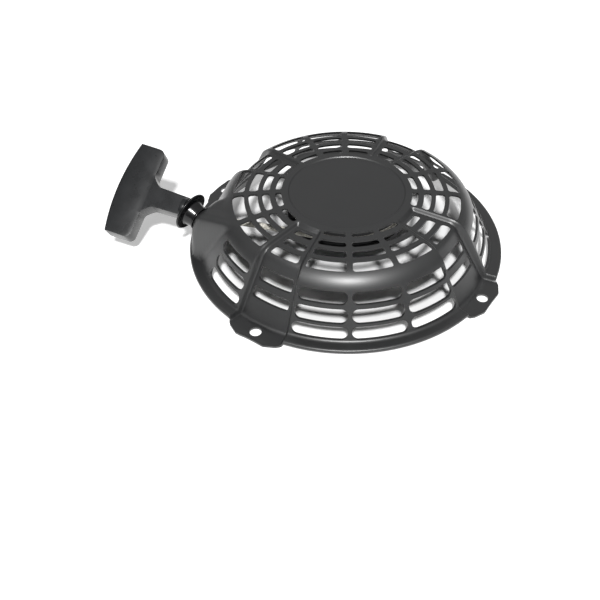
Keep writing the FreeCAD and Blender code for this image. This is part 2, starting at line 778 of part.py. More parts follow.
reel_body = turned(
    "reel_turned",
    [
        (BUSH_OUTER, "{hub_level}"),
        ("{hub_radius}", "{hub_level}"),
        ("{hub_radius}", "{carrier_level}"),
        ("{carrier_radius}", "{carrier_level}"),
        ("{carrier_radius}", "{groove_level} - {reel_flange}"),
        ("{flange_radius}", "{groove_level} - {reel_flange}"),
        ("{flange_radius}", "{groove_level}"),
        ("{groove_radius}", "{groove_level}"),
        ("{groove_radius}", "{groove_level} + {groove_width}"),
        ("{flange_radius}", "{groove_level} + {groove_width}"),
        ("{flange_radius}", REEL_TOP),
        ("{pocket_radius}", REEL_TOP),
        ("{pocket_radius}", "{pocket_level}"),
        (BUSH_OUTER, "{pocket_level}"),
    ],
)
KNOT_REACH = "({groove_radius} + {flange_radius}) / 2 - 1.5"
holes = new_sketch(reel_body, "XY_Plane")
circle(holes, "{pivot_radius}", "0", "{pin_radius}")
holes.setExpression("AttachmentOffset.Base.z", formula("{carrier_level} + {pin_depth} + {clearance}"))
around(reel_body, pocket(reel_body, holes, "{pin_depth} + 1"), 2)
knot_hole = new_sketch(reel_body, "XY_Plane")
circle(knot_hole, KNOT_REACH, "0", "{rope} / 2 + {clearance}")
knot_hole.setExpression("AttachmentOffset.Base.z", formula("{groove_level} + 1"))
pocket(reel_body, knot_hole, "{reel_flange} + 2")
reel = cut_slot(
    "reel",
    reel_body,
    "3",
    "{pocket_radius} - 1",
    HOOK_LEVEL,
    REEL_TOP + " + 1",
)

reel_bush = drum("reel_bush", BUSH_INNER, BUSH_OUTER, "{hub_level}", "{pocket_level}")

spring_cover = turned(
    "spring_cover",
    [
        ("{post_flange} + 2 * {clearance}", REEL_TOP),
        ("{pocket_radius} - {cover_gauge}", REEL_TOP),
        ("{pocket_radius} - {cover_gauge}", REEL_TOP + " - {cover_gauge}"),
        ("{pocket_radius}", REEL_TOP + " - {cover_gauge}"),
        ("{pocket_radius}", REEL_TOP),
        ("{cover_radius}", REEL_TOP),
        ("{cover_radius}", REEL_TOP + " + {cover_gauge}"),
        ("{post_flange} + 2 * {clearance}", REEL_TOP + " + {cover_gauge}"),
    ],
)

# ---- recoil_spring: a flat strip wound from the post out to the reel ----


def spiral_sides(shift):
    """Half circles about two centres, each a little larger, that make one side of the strip."""
    pitch = value("{strip_pitch}")
    inner = value("{pocket_radius} - 2 * {strip}") - pitch * value("{strip_turns}")
    arcs = []
    for turn in range(int(value("{strip_turns}"))):
        radius = inner + turn * pitch
        for centre, size, start in ((0, radius, 0), (pitch / 2, radius + pitch / 2, math.pi)):
            ring = Part.Circle(FreeCAD.Vector(centre, 0, 0), FreeCAD.Vector(0, 0, 1), size + shift)
            arcs.append(Part.ArcOfCircle(ring, start, start + math.pi))
    return arcs


def recoil_strip():
    half = value("{strip}") / 2
    sides = [spiral_sides(-half), spiral_sides(half)]
    starts = [side[0].StartPoint for side in sides]
    stops = [side[-1].EndPoint for side in sides]
    edges = [arc.toShape() for side in sides for arc in side]
    edges += [Part.LineSegment(*pair).toShape() for pair in (starts, stops)]
    outline = Part.Wire(Part.sortEdges(edges)[0])
    inner_hook = prism(
        [
            FreeCAD.Vector(-value("{post_radius}") / 2, -half, 0),
            FreeCAD.Vector(starts[0].x + half, -half, 0),
            FreeCAD.Vector(starts[0].x + half, half, 0),
            FreeCAD.Vector(-value("{post_radius}") / 2, half, 0),
        ],
        FreeCAD.Vector(0, 0, 1),
        value("{strip_height}"),
    )
    outer_hook = prism(
        [
            FreeCAD.Vector(stops[0].x + half, -half, 0),
            FreeCAD.Vector(value("{pocket_radius}") + 1.6, -half, 0),
            FreeCAD.Vector(value("{pocket_radius}") + 1.6, half, 0),
            FreeCAD.Vector(stops[0].x + half, half, 0),
        ],
        FreeCAD.Vector(0, 0, 1),
        value("{strip_height}"),
    )
    strip = Part.Face(outline).extrude(FreeCAD.Vector(0, 0, value("{strip_height}")))
    return strip.fuse([inner_hook, outer_hook]).removeSplitter()


def shaped(label, shape, placement=None):
    part = doc.addObject("Part::Feature", label)
    part.Label = label
    part.Shape = shape
    if placement:
        part.Placement = placement
    return part


level = FreeCAD.Placement(FreeCAD.Vector(0, 0, value(HOOK_LEVEL)), FreeCAD.Rotation())
recoil_spring = shaped("recoil_spring", recoil_strip(), level)

# ---- rope_wound and reel_knot: the rope on the reel ----

COIL_OUTER = "{pull_offset} + {rope} / 2"
COIL_LOW = "{groove_level} + {clearance}"
COIL_HIGH = "{groove_level} + {groove_width} - {clearance}"

rope_wound = turned(
    "rope_wound",
    [
        ("{groove_radius} + {clearance}", COIL_LOW),
        (COIL_OUTER + " - 1.5", COIL_LOW),
        (COIL_OUTER, COIL_LOW + " + {rope} / 2"),
        (COIL_OUTER + " - 1.1", "{groove_level} + {groove_width} / 2"),
        (COIL_OUTER, COIL_HIGH + " - {rope} / 2"),
        (COIL_OUTER + " - 1.5", COIL_HIGH),
        ("{groove_radius} + {clearance}", COIL_HIGH),
    ],
)


def knot(label, stub):
    """A knot as a plain bevelled drum on the Z axis, with a stub of rope above it."""
    corners = [
        ("0", "-2 * {knot_radius}"),
        ("{knot_radius} * 0.6", "-2 * {knot_radius}"),
        ("{knot_radius}", "-{knot_radius} * 1.4"),
        ("{knot_radius}", "-{knot_radius} * 0.6"),
        ("{knot_radius} * 0.6", "0"),
    ]
    if stub:
        corners += [("{rope} / 2", "0"), ("{rope} / 2", stub)]
    return turned(label, corners + [("0", stub or "0")])


reel_knot = knot("reel_knot", "{reel_flange}")
reel_knot.Placement.Base = FreeCAD.Vector(value(KNOT_REACH), 0, value("{groove_level} - {reel_flange}"))

# ---- the ratchet: two pawls, their pins and springs, and the plate that swings them ----


pin_shapes = []
for index in range(2):
    pin = Part.makeCylinder(value("{pin_radius}"), value("{carrier_level} + {pin_depth} - {hub_level}"))
    head = Part.makeCylinder(value("{pin_head}"), value("{pawl_level} - {clearance} - {hub_level}"))
    pin = pin.fuse(head)
    pin.Placement = polar_place(value("{pivot_radius}"), 180 * index, value("{hub_level}"))
    pin_shapes.append(pin)
pawl_pins = shaped("pawl_pins", Part.makeCompound(pin_shapes))


def pawl(label, index):
    """A pawl with its pivot on the body's Z axis and its tip along +X."""
    body = new_body(label)
    outline = new_sketch(body, "XY_Plane")
    polygon(
        outline,
        [
            ("0", "-{pawl_hub}"),
            ("{pawl_length}", "-{pawl_hub} + 1.2"),
            ("{pawl_length}", "0"),
            ("{pawl_length} - 4", "1.6"),
            ("{pawl_hub}", "{pawl_hub} - 1"),
            ("0", "{pawl_hub}"),
            ("-{pawl_hub}", "{pawl_hub}"),
            ("-{pawl_hub}", "-{pawl_hub}"),
        ],
        {6: "{pawl_hub} - 0.2", 7: "{pawl_hub} - 0.2"},
    )
    pad(body, outline, "{pawl_gauge}")
    peg = new_sketch(body, "XY_Plane")
    circle(peg, "{peg_arm}", "0", "{peg_radius}")
    pad(body, peg, "{pawl_level} - {plate_level}", Reversed=True)
    bore = new_sketch(body, "XY_Plane")
    circle(bore, "0", "0", "{pin_radius} + {fit}")
    pocket(body, bore, "{pawl_gauge} + 1", upward=True)
    body.Placement = polar_place(
        value("{pivot_radius}"), 180 * index, value("{pawl_level}"), value("{pawl_rest}")
    )
    doc.recompute()
    return body


def pawl_spring(label, index):
    """A leaf of thin strip that lies round a pivot pin, on top of its pawl."""
    inner, thick, height = value("{pin_radius}") + 0.4, 0.5, 1.0
    ring = Part.makeCylinder(inner + thick, height).cut(Part.makeCylinder(inner, height))
    arm = Part.makeBox(value("{pawl_length}") - 6, thick, height, FreeCAD.Vector(0, inner, 0))
    outer = inner + thick
    gap = Part.makeBox(outer, inner + outer, height, FreeCAD.Vector(0.3, -outer, 0))
    shape = ring.cut(gap).fuse(arm).removeSplitter()
    lift = value("{pawl_level} + {pawl_gauge}") + 0.1
    return shaped(label, shape, polar_place(value("{pivot_radius}"), 180 * index, lift, value("{pawl_rest}")))


pawl_a, pawl_b = pawl("pawl_a", 0), pawl("pawl_b", 1)
pawl_spring_a, pawl_spring_b = pawl_spring("pawl_spring_a", 0), pawl_spring("pawl_spring_b", 1)


def peg_track(index):
    """Slot of the plate, swept by a pawl's peg while plate and pawl turn against the reel."""
    width = value("{peg_radius}") + 0.25
    gauge = value("{plate_gauge}")
    steps = 4
    spots = []
    for step in range(steps + 1):
        swing = math.radians(value("{pawl_rest}") + value("{pawl_swing}") * step / steps)
        arm = value("{peg_arm}")
        x = value("{pivot_radius}") + arm * math.cos(swing)
        y = arm * math.sin(swing)
        back = value("{plate_turn}") * step / steps
        azimuth = math.degrees(math.atan2(y, x)) - back + 180 * index
        spots.append(polar_place(math.hypot(x, y), azimuth, 0).Base)
    track = [Part.makeCylinder(width, gauge, spot) for spot in spots]
    for start, stop in zip(spots, spots[1:]):
        way = stop - start
        side = FreeCAD.Vector(-way.y, way.x, 0).normalize() * width
        corners = [start - side, stop - side, stop + side, start + side]
        track.append(prism(corners, FreeCAD.Vector(0, 0, 1), gauge))
    return track[0].fuse(track[1:]).removeSplitter()


plate_blank = drum("ratchet_guide_blank", BUSH_INNER, "{plate_radius}", "0", "{plate_gauge}")
tracks = shaped("peg_tracks", Part.makeCompound([peg_track(0), peg_track(1)]))
ratchet_guide = doc.addObject("Part::Cut", "ratchet_guide")
ratchet_guide.Base = plate_blank
ratchet_guide.Tool = tracks
ratchet_guide.setExpression("Placement.Base.z", formula("{plate_level}"))

# ---- friction_spring, screw_washer and centre_screw ----

friction_spring = turned(
    "friction_spring",
    [
        ("{post_radius} + 0.4", "{post_end_level} + 0.1"),
        ("{post_radius} + 1.1", "{post_end_level} + 0.1"),
        ("{washer_radius}", "{plate_level} - 0.8"),
        ("{washer_radius}", "{plate_level} - 0.1"),
    ],
)

WASHER_UNDER = "{post_end_level} - {washer_gauge}"
WASHER_HOLE = "{screw_radius} + {fit}"
screw_washer = drum("screw_washer", WASHER_HOLE, "{washer_radius}", WASHER_UNDER, "{post_end_level}")

screw_head = doc.addObject("Part::Prism", "screw_head")
screw_head.Polygon = 6
screw_head.setExpression("Circumradius", formula("{screw_head} / cos(30)"))
screw_head.setExpression("Height", formula("{screw_head_height}"))
screw_head.setExpression("Placement.Base.z", formula(WASHER_UNDER + " - {screw_head_height}"))
screw_shank = doc.addObject("Part::Cylinder", "screw_shank")
screw_shank.setExpression("Radius", formula("{screw_radius}"))
screw_shank.setExpression("Height", formula("{washer_gauge} + 17 + {screw_head_height} / 2"))
screw_shank.setExpression("Placement.Base.z", formula(WASHER_UNDER + " - {screw_head_height} / 2"))
centre_screw = doc.addObject("Part::Fuse", "centre_screw")
centre_screw.Base = screw_head
centre_screw.Tool = screw_shank

# ---- rope_guide and guide_clip ----

GROOVE_END = "-{clip_seat} - {clip_gauge} - 0.1"

rope_guide = turned(
    "rope_guide",
    [
        ("{guide_throat} + 1.2", GROOVE_END + " - 1.4"),
        ("{guide_shank} - 0.5", GROOVE_END + " - 1.4"),
        ("{guide_shank}", GROOVE_END + " - 0.9"),
        ("{guide_shank}", GROOVE_END),
        ("{guide_shank} - 0.7", GROOVE_END),
        ("{guide_shank} - 0.7", "-{clip_seat} + 0.1"),
        ("{guide_shank}", "-{clip_seat} + 0.1"),
        ("{guide_shank}", "0"),
        ("{guide_shank} + 1.2", "0"),
        ("{guide_shank} + 1.2", "1"),
        ("{guide_shank} + 0.4", "1.6"),
        ("{guide_cone}", "{guide_length} - 2"),
        ("{guide_cone} + 1.3", "{guide_length} - 1"),
        ("{guide_lip}", "{guide_length} - 0.4"),
        ("{guide_lip}", "{guide_length} + 0.6"),
        ("{guide_throat} + 7.5", "{guide_length} + 0.8"),
        ("{guide_throat} + 3.5", "{guide_length} - 0.4"),
        ("{guide_throat}", "{guide_length} / 2"),
        ("{guide_throat}", "1"),
    ],
)
rope_guide.Placement = mouth_place()

clip_body = new_body("guide_clip")
clip_outline = new_sketch(clip_body)
polygon(
    clip_outline,
    [
        ("{guide_shank} - 0.6", "-{clip_seat} - {clip_gauge}"),
        ("{clip_radius}", "-{clip_seat} - {clip_gauge}"),
        ("{clip_radius}", "-{clip_seat}"),
        ("{guide_shank} - 0.6", "-{clip_seat}"),
    ],
)
revolve(clip_body, clip_outline, angle=320)
clip_body.Placement = mouth_place()

# ---- the handle, with the rope's end inside ----

lip_reach = value("{mouth_reach} + {guide_length} * cos({mouth_tilt})")
lip_level = value("{mouth_level} + {guide_length} * sin({mouth_tilt})")
rise, roll = value("{handle_rise}"), value("{handle_roll}")


def in_handle(along, turn=0):
    """A place on the handle's axis, at a distance from the middle of the guide's lip."""
    slope = math.radians(rise)
    return pull_place(
        lip_reach + along * math.cos(slope), lip_level + along * math.sin(slope), rise, -roll, turn
    )


handle_body = new_body("handle_grip")
outline = new_sketch(handle_body, "XY_Plane")
side_of_grip = [
    ("{handle_gap}", "{stem_tip} / 2"),
    ("{grip_inner}", "{stem_root} / 2"),
    ("{grip_inner}", "{grip_length} / 2"),
    ("{grip_outer} + {grip_bow}", "{grip_length} / 2"),
]
mirrored = [(across, "-" + up) for across, up in side_of_grip]
polygon(
    outline,
    mirrored + side_of_grip[::-1],
    {1: "{stem_corner}", 2: "{grip_round}", 5: "{grip_round}", 6: "{stem_corner}"},
)
pad(handle_body, outline, "{grip_thick}", Midplane=True)
BOW_RADIUS = "(({grip_length} / 2) ^ 2 + {grip_bow} ^ 2) / (2 * {grip_bow})"
bow = new_sketch(handle_body, "XY_Plane")
circle(bow, "{grip_outer} + {grip_bow} - " + BOW_RADIUS, "0", BOW_RADIUS)
circle(bow, "{grip_outer} + {grip_bow} - " + BOW_RADIUS, "0", BOW_RADIUS + " + 30")
bowed = pocket(handle_body, bow, Midplane=True)


def grip_rims(item, inner):
    """Edges round the handle's two faces, either at the stem's side or at the outer side."""
    half = value("{grip_thick}") / 2
    limit = value("{grip_outer}") - 0.5

    def test(edge):
        box = edge.BoundBox
        flat = box.ZLength < 1e-4 and abs(abs(box.ZMin) - half) < 1e-4
        if not flat or box.XMax < value("{handle_gap}") + 0.1:
            return False
        middle = box.Center.x
        return (middle < value("{grip_inner}") + 3) == inner if box.YLength > 1 else inner

    return edges_where(item, test)


fillet(handle_body, bowed, grip_rims(bowed, True), "{grip_round}")
fillet(handle_body, handle_body.Tip, grip_rims(handle_body.Tip, False), "{grip_edge}")
collar = new_sketch(handle_body, "YZ_Plane", "{handle_gap}")
circle(collar, "0", "0", "{collar_radius}")
pad(handle_body, collar, "{collar_length}")
bore = new_sketch(handle_body, "YZ_Plane", "{handle_gap} - 1")
circle(bore, "0", "0", "{rope} / 2 + 0.6")
pocket(handle_body, bore, "{knot_seat} - {handle_gap} + 2", upward=True)
room = new_sketch(handle_body, "YZ_Plane", "{knot_seat}")
circle(room, "0", "0", "{knot_room}")
pocket(handle_body, room, "30", upward=True)
handle_body.Placement = in_handle(0)

ROPE_HOLE = "{rope} / 2 + {clearance}"
rope_washer = drum("rope_washer", ROPE_HOLE, "{knot_room} - {clearance}", "0", "{clip_gauge}")
rope_washer.Placement = in_handle(value("{knot_seat}"), 90)
handle_knot = knot("handle_knot", "")
handle_knot.Placement = in_handle(value("{knot_seat} + {clip_gauge} + 2 * {knot_radius}"), 90)
PLUG_SPOT = "{grip_outer} + {grip_bow} - 1 - {plug_gauge}"
handle_plug = drum("handle_plug", "0", "{knot_room}", "0", "{plug_gauge}")
handle_plug.Placement = in_handle(value(PLUG_SPOT), 90)

# ---- rope_run: from the reel through the guide to the knot in the handle ----


def rope_run_shape():
    """The rope's straight runs and the bend in the guide's throat, in the plane of the pull."""
    slope = math.radians(rise)
    start = FreeCAD.Vector(value("{rope_leave}"), 0, value("{rope_leave_level}"))
    end_along = value("{knot_seat} + {clip_gauge}")
    end = FreeCAD.Vector(lip_reach + end_along * math.cos(slope), 0, lip_level + end_along * math.sin(slope))
    back = value("{guide_length}")
    kink = FreeCAD.Vector(lip_reach - back * math.cos(slope), 0, lip_level - back * math.sin(slope))
    inward, outward = (start - kink).normalize(), (end - kink).normalize()
    bend = value("{rope_bend}")
    reach = bend / math.tan(inward.getAngle(outward) / 2)
    sag = (inward + outward).normalize() * (bend / math.sin(inward.getAngle(outward) / 2) - bend)
    arc = Part.Arc(kink + inward * reach, kink + sag, kink + outward * reach).toShape()
    path = Part.Wire(
        [
            Part.LineSegment(start, kink + inward * reach).toShape(),
            arc,
            Part.LineSegment(kink + outward * reach, end).toShape(),
        ]
    )
    section = Part.Wire(Part.makeCircle(value("{rope}") / 2, start, start - kink))
    return path.makePipeShell([section], True, False)


rope_run = shaped("rope_run", rope_run_shape(), pull_place(0, 0))

# ---- checks and export ----

NODES = {
    "starter_case": starter_case,
    "reel_post": reel_post,
    "rope_guide": rope_guide,
    "guide_clip": clip_body,
    "reel": reel,
    "reel_bush": reel_bush,
    "spring_cover": spring_cover,
    "recoil_spring": recoil_spring,
    "rope_wound": rope_wound,
    "reel_knot": reel_knot,
    "rope_run": rope_run,
    "pawl_pins": pawl_pins,
    "pawl_a": pawl_a,
    "pawl_b": pawl_b,
    "pawl_spring_a": pawl_spring_a,
    "pawl_spring_b": pawl_spring_b,
    "ratchet_guide": ratchet_guide,
    "friction_spring": friction_spring,
    "screw_washer": screw_washer,
    "centre_screw": centre_screw,
    "handle_grip": handle_body,
    "rope_washer": rope_washer,
    "handle_knot": handle_knot,
    "handle_plug": handle_plug,
}

doc.recompute()
for item in doc.Objects:
    if "Invalid" in item.State or "Error" in item.State:
        raise RuntimeError(f"{item.Name} failed")
os.makedirs("parts", exist_ok=True)
for label, part in NODES.items():
    if part.Shape.isNull() or not part.Shape.isValid():
        raise RuntimeError(f"{label} has no sound shape")
    part.Shape.exportStep(f"parts/{label}.step")
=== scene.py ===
# %% [markdown]
# # A recoil starter, dressed in Blender
#
# The starter is the pull-rope unit of a small engine. A pressed steel case with rows of slots
# carries a rope reel, and a T-handle hangs on a rope that leaves the case through a plastic
# guide. The CAD model already has every piece in its place. Here the pieces that meet the eye
# are made again with finer surfaces, and each one gets the finish of its real material.
#
# The first cell loads the imported model as a fixed frame.

# %% Load the frame
import math

import bpy
import numpy as np
from mathutils import Matrix, Vector


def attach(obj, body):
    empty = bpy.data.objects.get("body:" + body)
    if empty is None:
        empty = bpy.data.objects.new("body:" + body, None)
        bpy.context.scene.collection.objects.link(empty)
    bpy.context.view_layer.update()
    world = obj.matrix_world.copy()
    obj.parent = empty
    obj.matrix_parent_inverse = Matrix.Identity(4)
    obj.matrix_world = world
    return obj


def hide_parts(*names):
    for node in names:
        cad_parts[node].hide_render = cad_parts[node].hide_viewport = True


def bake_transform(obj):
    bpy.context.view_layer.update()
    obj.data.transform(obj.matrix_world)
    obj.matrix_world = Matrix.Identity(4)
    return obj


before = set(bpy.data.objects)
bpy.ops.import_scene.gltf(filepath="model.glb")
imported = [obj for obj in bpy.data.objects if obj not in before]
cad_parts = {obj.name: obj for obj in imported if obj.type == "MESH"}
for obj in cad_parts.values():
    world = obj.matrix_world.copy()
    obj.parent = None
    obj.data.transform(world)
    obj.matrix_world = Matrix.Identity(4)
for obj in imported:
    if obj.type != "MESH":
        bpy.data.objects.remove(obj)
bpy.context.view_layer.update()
MM = 0.001

# %% [markdown]
# ## Sizes
#
# These are the driving sizes of the pressing, in millimetres and degrees, as a tool maker would
# read them off the drawing. Each could be typed where it is needed, but a size that two steps
# share would then drift apart, so they are named once, here. Levels count from the lugs' feet.

# %% Driving sizes
GAUGE = 1.5
DISC_RADIUS, DISC_LEVEL, DISC_STEP = 41.3, 48.2, 0.8
CROWN_LEVEL = 49.05
SHOULDER_RADIUS, SHOULDER_LEVEL, SHOULDER_BEND = 86.3, 45.2, 20.0
FOOT_RADIUS, FLANGE_LEVEL, FOOT_BEND = 107.0, 5.2, 2.5
RIM_RADIUS, RIM_BEND, RIM_BOTTOM = 115.0, 1.6, 3.0
CHANNEL_DEPTH, CHANNEL_START, CHANNEL_HALF = 2.3, 49.0, 10.7
KNEE_RADIUS, KNEE_BEND, TOE_RADIUS, TOE_BEND = 80.5, 9.0, 105.0, 3.0
LUG_REACH, LUG_TIP, LUG_ROOT_REACH, LUG_ROOT, LUG_CORNER = 119.8, 30.4, 112.8, 43.6, 1.2
BOLT_CIRCLE, BOLT_HOLE, BOLT_RING_RISE = 225.0, 8.0, 0.45
BOLT_RING, LUG_FLAT = (9.5, 8.0), (105.5, 107)
PULL_AZIMUTH, PULL_OFFSET = 194.7, 38.5
LIP_REACH, LIP_LEVEL = 105.8, 31.5
GUIDE_AZIMUTH, GUIDE_TILT, GUIDE_LENGTH, GUIDE_HOLE = 177.0, 15.0, 9.4, 7.3
BOSS_HALF, BOSS_RISE, BOSS_DEPTH, BOSS_SPREAD, BOSS_CLIMB = 12.5, 9.5, 46.0, 10.0, 8.0
BOSS_TAPER, BOSS_LIMIT = 8.0, 112.6
BOSS_TURN, BOSS_SPAN = 21, (190, 245)
SECTORS, CHANNELS = 16, 4
QUARTER = 360 / CHANNELS
print("sheet", GAUGE, "mm, rim", 2 * RIM_RADIUS, "mm, mouth of the guide at", LIP_LEVEL, "mm")

# %% [markdown]
# ## Small helpers
#
# Blender's operators act on whatever is selected, so a modelling step is always the same three
# moves: clear the selection, pick faces or edges by where they are, run the operator. A few
# short functions do the picking. Places are given in millimetres and turned to metres here.

# %% Helpers for objects and selections
def deselect_all():
    if bpy.context.object and bpy.context.object.mode != "OBJECT":
        bpy.ops.object.mode_set(mode="OBJECT")
    bpy.ops.object.select_all(action="DESELECT")


def activate(piece):
    deselect_all()
    piece.select_set(True)
    bpy.context.view_layer.objects.active = piece
    return piece


def name_piece(name):
    piece = bpy.context.object
    piece.name = name
    piece.data.name = name
    return activate(piece)


def edit(piece):
    activate(piece)
    bpy.ops.object.mode_set(mode="EDIT")
    bpy.ops.mesh.select_all(action="DESELECT")


# Places nearer than CLOSE mm are the same, and NEAR is how far a pick may be out.
CLOSE, NEAR = 0.01, 0.1


def pick(piece, what, test):
    """Selects the faces, edges or vertices of a piece in edit mode that pass a test in mm."""
    bpy.ops.object.mode_set(mode="OBJECT")
    mesh = piece.data
    spots = [Vector(vertex.co) / MM for vertex in mesh.vertices]
    items = {"faces": mesh.polygons, "edges": mesh.edges, "verts": mesh.vertices}[what]
    for group in (mesh.vertices, mesh.edges, mesh.polygons):
        group.foreach_set("select", [False] * len(group))
    for item in items:
        used = item.vertices if what != "verts" else [item.index]
        if test([spots[index] for index in used], item):
            item.select = True
    bpy.ops.object.mode_set(mode="EDIT")
    modes = {"faces": "FACE", "edges": "EDGE", "verts": "VERT"}
    bpy.ops.mesh.select_mode(type=modes[what])


def push(x=0.0, y=0.0, z=0.0):
    """Extrudes what is selected by a distance in mm."""
    move = {"value": (x * MM, y * MM, z * MM)}
    bpy.ops.mesh.extrude_region_move(TRANSFORM_OT_translate=move)


def apply_modifier(piece, kind, **settings):
    activate(piece)
    modifier = piece.modifiers.new(kind.title(), kind)
    for key, setting in settings.items():
        setattr(modifier, key, setting)
    bpy.ops.object.modifier_apply(modifier=modifier.name)


def bake_place(piece):
    """Moves a piece's place into its mesh, so its object sits at the origin."""
    activate(piece)
    bpy.ops.object.transform_apply(location=True, rotation=True, scale=True)


# Faces that turn by less than this many degrees, on each kind of piece, are shaded smooth.
PRESSED, MOULDED, TURNED = 28, 32, 35


def smooth(piece, angle):
    activate(piece)
    bpy.ops.object.shade_smooth_by_angle(angle=math.radians(angle))


def tidy_normals(piece):
    edit(piece)
    bpy.ops.mesh.select_all(action="SELECT")
    bpy.ops.mesh.remove_doubles(threshold=CLOSE * MM)
    bpy.ops.mesh.normals_make_consistent(inside=False)
    bpy.ops.object.mode_set(mode="OBJECT")


print("helpers ready, points nearer than", CLOSE, "mm are welded")

# %% [markdown]
# ## The die
#
# The case is one sheet of steel, pressed between two dies. It could be sculpted, or built from
# a revolved dome with channels cut into it, but a cut leaves a knife edge where real sheet
# flows. A die is a surface of heights, and so is this one: along each row of the sheet there
# is a place on the dome, and another on the floor of a channel. Both profiles are lines joined
# by arcs, worked out from the sizes above.

# %% Profiles of the dome and of a channel's floor
def bent_chain(corners, step):
    """Walks along lines joined by arcs, and gives a point about every step millimetres.

    A corner is (radius, level, bend).
    """
    spots = [Vector((corner[0], corner[1])) for corner in corners]
    walk = [spots[0]]
    for index in range(1, len(spots)):
        start, corner = walk[-1], spots[index]
        bend = corners[index][2] if index + 1 < len(spots) else 0
        before = (corner - spots[index - 1]).normalized()
        after = (spots[index + 1] - corner).normalized() if index + 1 < len(spots) else before
        turn = before.angle_signed(after) if index + 1 < len(spots) else 0
        reach = bend * math.tan(abs(turn) / 2)
        end = corner - before * reach
        count = max(1, round((end - start).length / step))
        walk += [start.lerp(end, k / count) for k in range(1, count + 1)]
        if bend:
            side = Vector((-before.y, before.x)) * (-1 if turn > 0 else 1)
            centre = end + side * bend
            pieces = max(3, round(bend * abs(turn) / step) + 2)
            for k in range(1, pieces + 1):
                swing = Matrix.Rotation(-turn * k / pieces, 2)
                walk.append(centre + swing @ (end - centre))
    return walk


DOME_STEP, FLOOR_STEP, DISC_BENDS, PAST_RIM, INSIDE_DISC = 0.9, 0.5, (0.6, 0.5), 8, 3
SLOPE = (CROWN_LEVEL - SHOULDER_LEVEL) / (SHOULDER_RADIUS - DISC_RADIUS - DISC_STEP)
CHANNEL_ROOT = CROWN_LEVEL - CHANNEL_DEPTH + (DISC_RADIUS + DISC_STEP) * SLOPE
dome_line = bent_chain(
    [
        (0, DISC_LEVEL, 0),
        (DISC_RADIUS, DISC_LEVEL, DISC_BENDS[0]),
        (DISC_RADIUS + DISC_STEP, CROWN_LEVEL, DISC_BENDS[1]),
        (SHOULDER_RADIUS, SHOULDER_LEVEL, SHOULDER_BEND),
        (FOOT_RADIUS, FLANGE_LEVEL, FOOT_BEND),
        (RIM_RADIUS, FLANGE_LEVEL, RIM_BEND),
        (RIM_RADIUS, RIM_BOTTOM, 0),
    ],
    DOME_STEP,
)
floor_line = bent_chain(
    [
        (0, CHANNEL_ROOT, 0),
        (KNEE_RADIUS, CHANNEL_ROOT - KNEE_RADIUS * SLOPE, KNEE_BEND),
        (TOE_RADIUS, GAUGE, TOE_BEND),
        (RIM_RADIUS + PAST_RIM, GAUGE, 0),
    ],
    FLOOR_STEP,
)
grid_start = DISC_RADIUS - INSIDE_DISC
dome_rows = np.array([(spot.x, spot.y) for spot in dome_line if spot.x > grid_start])
floor_rows = np.array([(spot.x, spot.y) for spot in floor_line])
print("rows of the dome", len(dome_rows), "points of the floor", len(floor_rows))

# %% [markdown]
# ## The blank
#
# The real blank is a flat round sheet. Here it is a flat grid that Blender adds, wrapped round
# the axis: its rows become circles and its columns become radii. An even grid would be simpler,
# but it would need to be fine everywhere. So columns stand close together where the metal
# turns sharply, at the sides of the four channels and round the boss, and wide apart elsewhere.
# A column beside a channel keeps its distance in millimetres from the channel's side, so the
# bend has the same radius all the way down.

# %% Columns of the blank
SIDE_STEPS = [-3.0, -1.9, -1.2, -0.7, -0.35, -0.1, 0.1, 0.35, 0.7, 1.2, 1.9, 3.0]
CHANNEL_COLUMNS, SPARED, PLAIN_COLUMNS, BOSS_COLUMNS, CLEAR_OF_SIDE = 13, 3, 26, 84, 5


def column_list():
    """Pairs of (azimuth in degrees, distance in mm from that azimuth's radius)."""
    columns = []
    for channel in range(CHANNELS):
        middle = channel * QUARTER
        columns += [(middle - CHANNEL_HALF, -shift) for shift in SIDE_STEPS[::-1]]
        inner = np.linspace(-CHANNEL_HALF, CHANNEL_HALF, CHANNEL_COLUMNS)[SPARED:-SPARED]
        columns += [(middle + turn, 0) for turn in inner]
        columns += [(middle + CHANNEL_HALF, shift) for shift in SIDE_STEPS]
        start = middle + CHANNEL_HALF + CLEAR_OF_SIDE
        stop = middle + QUARTER - CHANNEL_HALF - CLEAR_OF_SIDE
        near_boss = abs(middle + QUARTER / 2 - PULL_AZIMUTH - BOSS_TURN) < QUARTER / 2
        count = BOSS_COLUMNS if near_boss else PLAIN_COLUMNS
        columns += [(turn, 0) for turn in np.linspace(start, stop, count)]
    return columns


columns = column_list()
print("columns", len(columns), "rows", len(dome_rows))

# %% [markdown]
# ## Pressing
#
# Each point of the blank is sent to its place on the die. Across a channel's side it slides
# from the dome to the channel's floor along a soft S curve, which gives the rounded edges of
# pressed sheet. The boss, where the rope comes out, could be a second solid joined to the
# dome, but it is drawn from the same sheet. So over the boss a point rises until it meets a
# leaning face, two sides and a top, whose edges melt into one another: that is the smooth
# meeting of signed distances.

# %% Frames of the pull and of the guide
def pull_matrix(along, level, tilt, roll=0, azimuth=PULL_AZIMUTH):
    """A frame at a place on the pull's line: X outwards, leaning up by tilt, rolled about X."""
    line = Matrix.Rotation(math.radians(PULL_AZIMUTH), 4, "Z")
    spin = Matrix.Rotation(math.radians(azimuth - PULL_AZIMUTH), 4, "Z")
    lean = Matrix.Rotation(math.radians(-tilt), 4, "Y")
    twist = Matrix.Rotation(math.radians(roll), 4, "X")
    place = Matrix.Translation(Vector((along, PULL_OFFSET, level)) * MM)
    return line @ place @ spin @ lean @ twist


